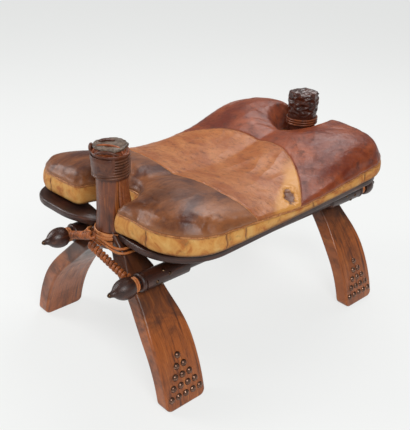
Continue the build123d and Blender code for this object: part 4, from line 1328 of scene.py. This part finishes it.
class STOOL_OT_stage(bpy.types.Operator):
    """Pale floor, soft lamps and the camera"""

    bl_idname = "stool.stage"
    bl_label = "Stage"

    def execute(self, context):
        stage = context.scene.stool_stage
        self.floor()
        self.surroundings(context, stage)
        self.lamps(context, stage)
        self.camera(context, stage)
        context.scene.view_settings.view_transform = "Standard"
        return {"FINISHED"}

    def floor(self):
        """A pale seamless floor that looks white to the camera and keeps soft shadows."""
        bm = bmesh.new()
        bmesh.ops.create_grid(bm, x_segments=1, y_segments=1, size=14)
        mesh = bpy.data.meshes.new("studio_floor")
        bm.to_mesh(mesh)
        bm.free()
        floor = bpy.data.objects.new("studio_floor", mesh)
        bpy.context.scene.collection.objects.link(floor)
        material, tree, shader = new_material("pale_studio_paper")
        shader.inputs["Base Color"].default_value = (*linear("#e8e9e8"), 1)
        shader.inputs["Roughness"].default_value = 0.9
        shader.inputs["Specular IOR Level"].default_value = 0.1
        # To the camera and in gloss, this share of the paper's white is its own
        own_share = 0.75
        white = add(tree, "ShaderNodeEmission", {"Color": linear("#f8f9f8"), "Strength": 1.0})
        path = add(tree, "ShaderNodeLightPath")
        seen = add(
            tree, "ShaderNodeMath",
            {0: path.outputs["Is Camera Ray"], 1: path.outputs["Is Glossy Ray"]},
            operation="MAXIMUM",
        )
        share = add(
            tree, "ShaderNodeMath", {0: seen.outputs[0], 1: own_share}, operation="MULTIPLY"
        )
        paper = add(
            tree, "ShaderNodeMixShader",
            {0: share.outputs[0], 1: shader.outputs[0], 2: white.outputs[0]},
        )
        tree.links.new(paper.outputs[0], tree.nodes["Material Output"].inputs["Surface"])
        mesh.materials.append(material)

    def surroundings(self, context, stage):
        """Even pale light from all round, which the camera sees brighter than it lights."""
        world = bpy.data.worlds.new("pale_room")
        world.use_nodes = True
        tree = world.node_tree
        tree.nodes.clear()
        path = add(tree, "ShaderNodeLightPath")
        strength = add(
            tree, "ShaderNodeMapRange",
            {"Value": path.outputs["Is Camera Ray"], "To Min": stage.fill, "To Max": 0.88},
        )
        light = add(
            tree, "ShaderNodeBackground",
            {"Color": (*linear("#f4f6f6"), 1), "Strength": strength.outputs[0]},
        )
        add(tree, "ShaderNodeOutputWorld", {"Surface": light.outputs[0]})
        context.scene.world = world

    def lamps(self, context, stage):
        """Three large soft lamps: before the stool, beside it and over its rear."""
        for name, place, aim, size, power in (
            ("key_lamp", (-1.2, -2.0, 2.1), (0, 0, 0.25), 1.2, stage.key_power),
            ("side_lamp", (-1.3, 1.7, 1.5), (0, 0, 0.25), 1.1, stage.key_power * 0.55),
            ("high_lamp", (1.1, 0.5, 2.2), (0, 0, 0.3), 1.4, stage.key_power * 0.62),
        ):
            lamp = bpy.data.lights.new(name, "AREA")
            lamp.energy = power
            lamp.size = size
            holder = bpy.data.objects.new(name, lamp)
            context.scene.collection.objects.link(holder)
            way = Vector(aim) - Vector(place)
            turned = way.to_track_quat("-Z", "Y").to_matrix().to_4x4()
            holder.matrix_world = Matrix.Translation(place) @ turned

    def camera(self, context, stage):
        """The camera, at the view of the picture that the stool was made from."""
        turn = radians(-43.88)
        rise = radians(26.69)
        roll = radians(2.32)
        back = Vector((sin(turn) * cos(rise), -cos(turn) * cos(rise), sin(rise)))
        right = (-back).cross(Vector((0, 0, 1))).normalized()
        up = right.cross(-back)
        across = right * cos(roll) + up * sin(roll)
        upward = up * cos(roll) - right * sin(roll)
        lens = bpy.data.cameras.new("picture_camera")
        lens.lens = stage.lens
        lens.clip_end = 60
        camera = bpy.data.objects.new("picture_camera", lens)
        context.scene.collection.objects.link(camera)
        place = Vector((-1.0423, -1.0193, 0.9536))
        turned = Matrix((across, upward, back)).transposed().to_4x4()
        camera.matrix_world = Matrix.Translation(place) @ turned
        context.scene.camera = camera


class STOOL_PT_panel(bpy.types.Panel):
    """Lists the stool's pieces and its stage"""

    bl_label = "Camel saddle stool"
    bl_idname = "STOOL_PT_panel"
    bl_space_type = "VIEW_3D"
    bl_region_type = "UI"
    bl_category = "Stool"

    def draw(self, context):
        for operator in OPERATORS:
            self.layout.operator(operator.bl_idname)


SETTINGS = {
    "stool_wood": StoolWood,
    "stool_leather": StoolLeather,
    "stool_pad": StoolPad,
    "stool_stage": StoolStage,
}
OPERATORS = [
    STOOL_OT_stage,
    STOOL_OT_woodwork,
    STOOL_OT_metalwork,
    STOOL_OT_lashings,
    STOOL_OT_front_cover,
    STOOL_OT_rear_cover,
    STOOL_OT_pad,
]


def register():
    """Register the settings, operators and panel."""
    for name, group in SETTINGS.items():
        bpy.utils.register_class(group)
        setattr(bpy.types.Scene, name, bpy.props.PointerProperty(type=group))
    for operator in OPERATORS:
        bpy.utils.register_class(operator)
    bpy.utils.register_class(STOOL_PT_panel)


def unregister():
    """Take them all out again."""
    bpy.utils.unregister_class(STOOL_PT_panel)
    for operator in reversed(OPERATORS):
        bpy.utils.unregister_class(operator)
    for name, group in SETTINGS.items():
        delattr(bpy.types.Scene, name)
        bpy.utils.unregister_class(group)


def main():
    """Dress the stool and set its stage."""
    register()
    for operator in OPERATORS:
        group, name = operator.bl_idname.split(".")
        getattr(getattr(bpy.ops, group), name)()


if __name__ == "__main__":
    main()
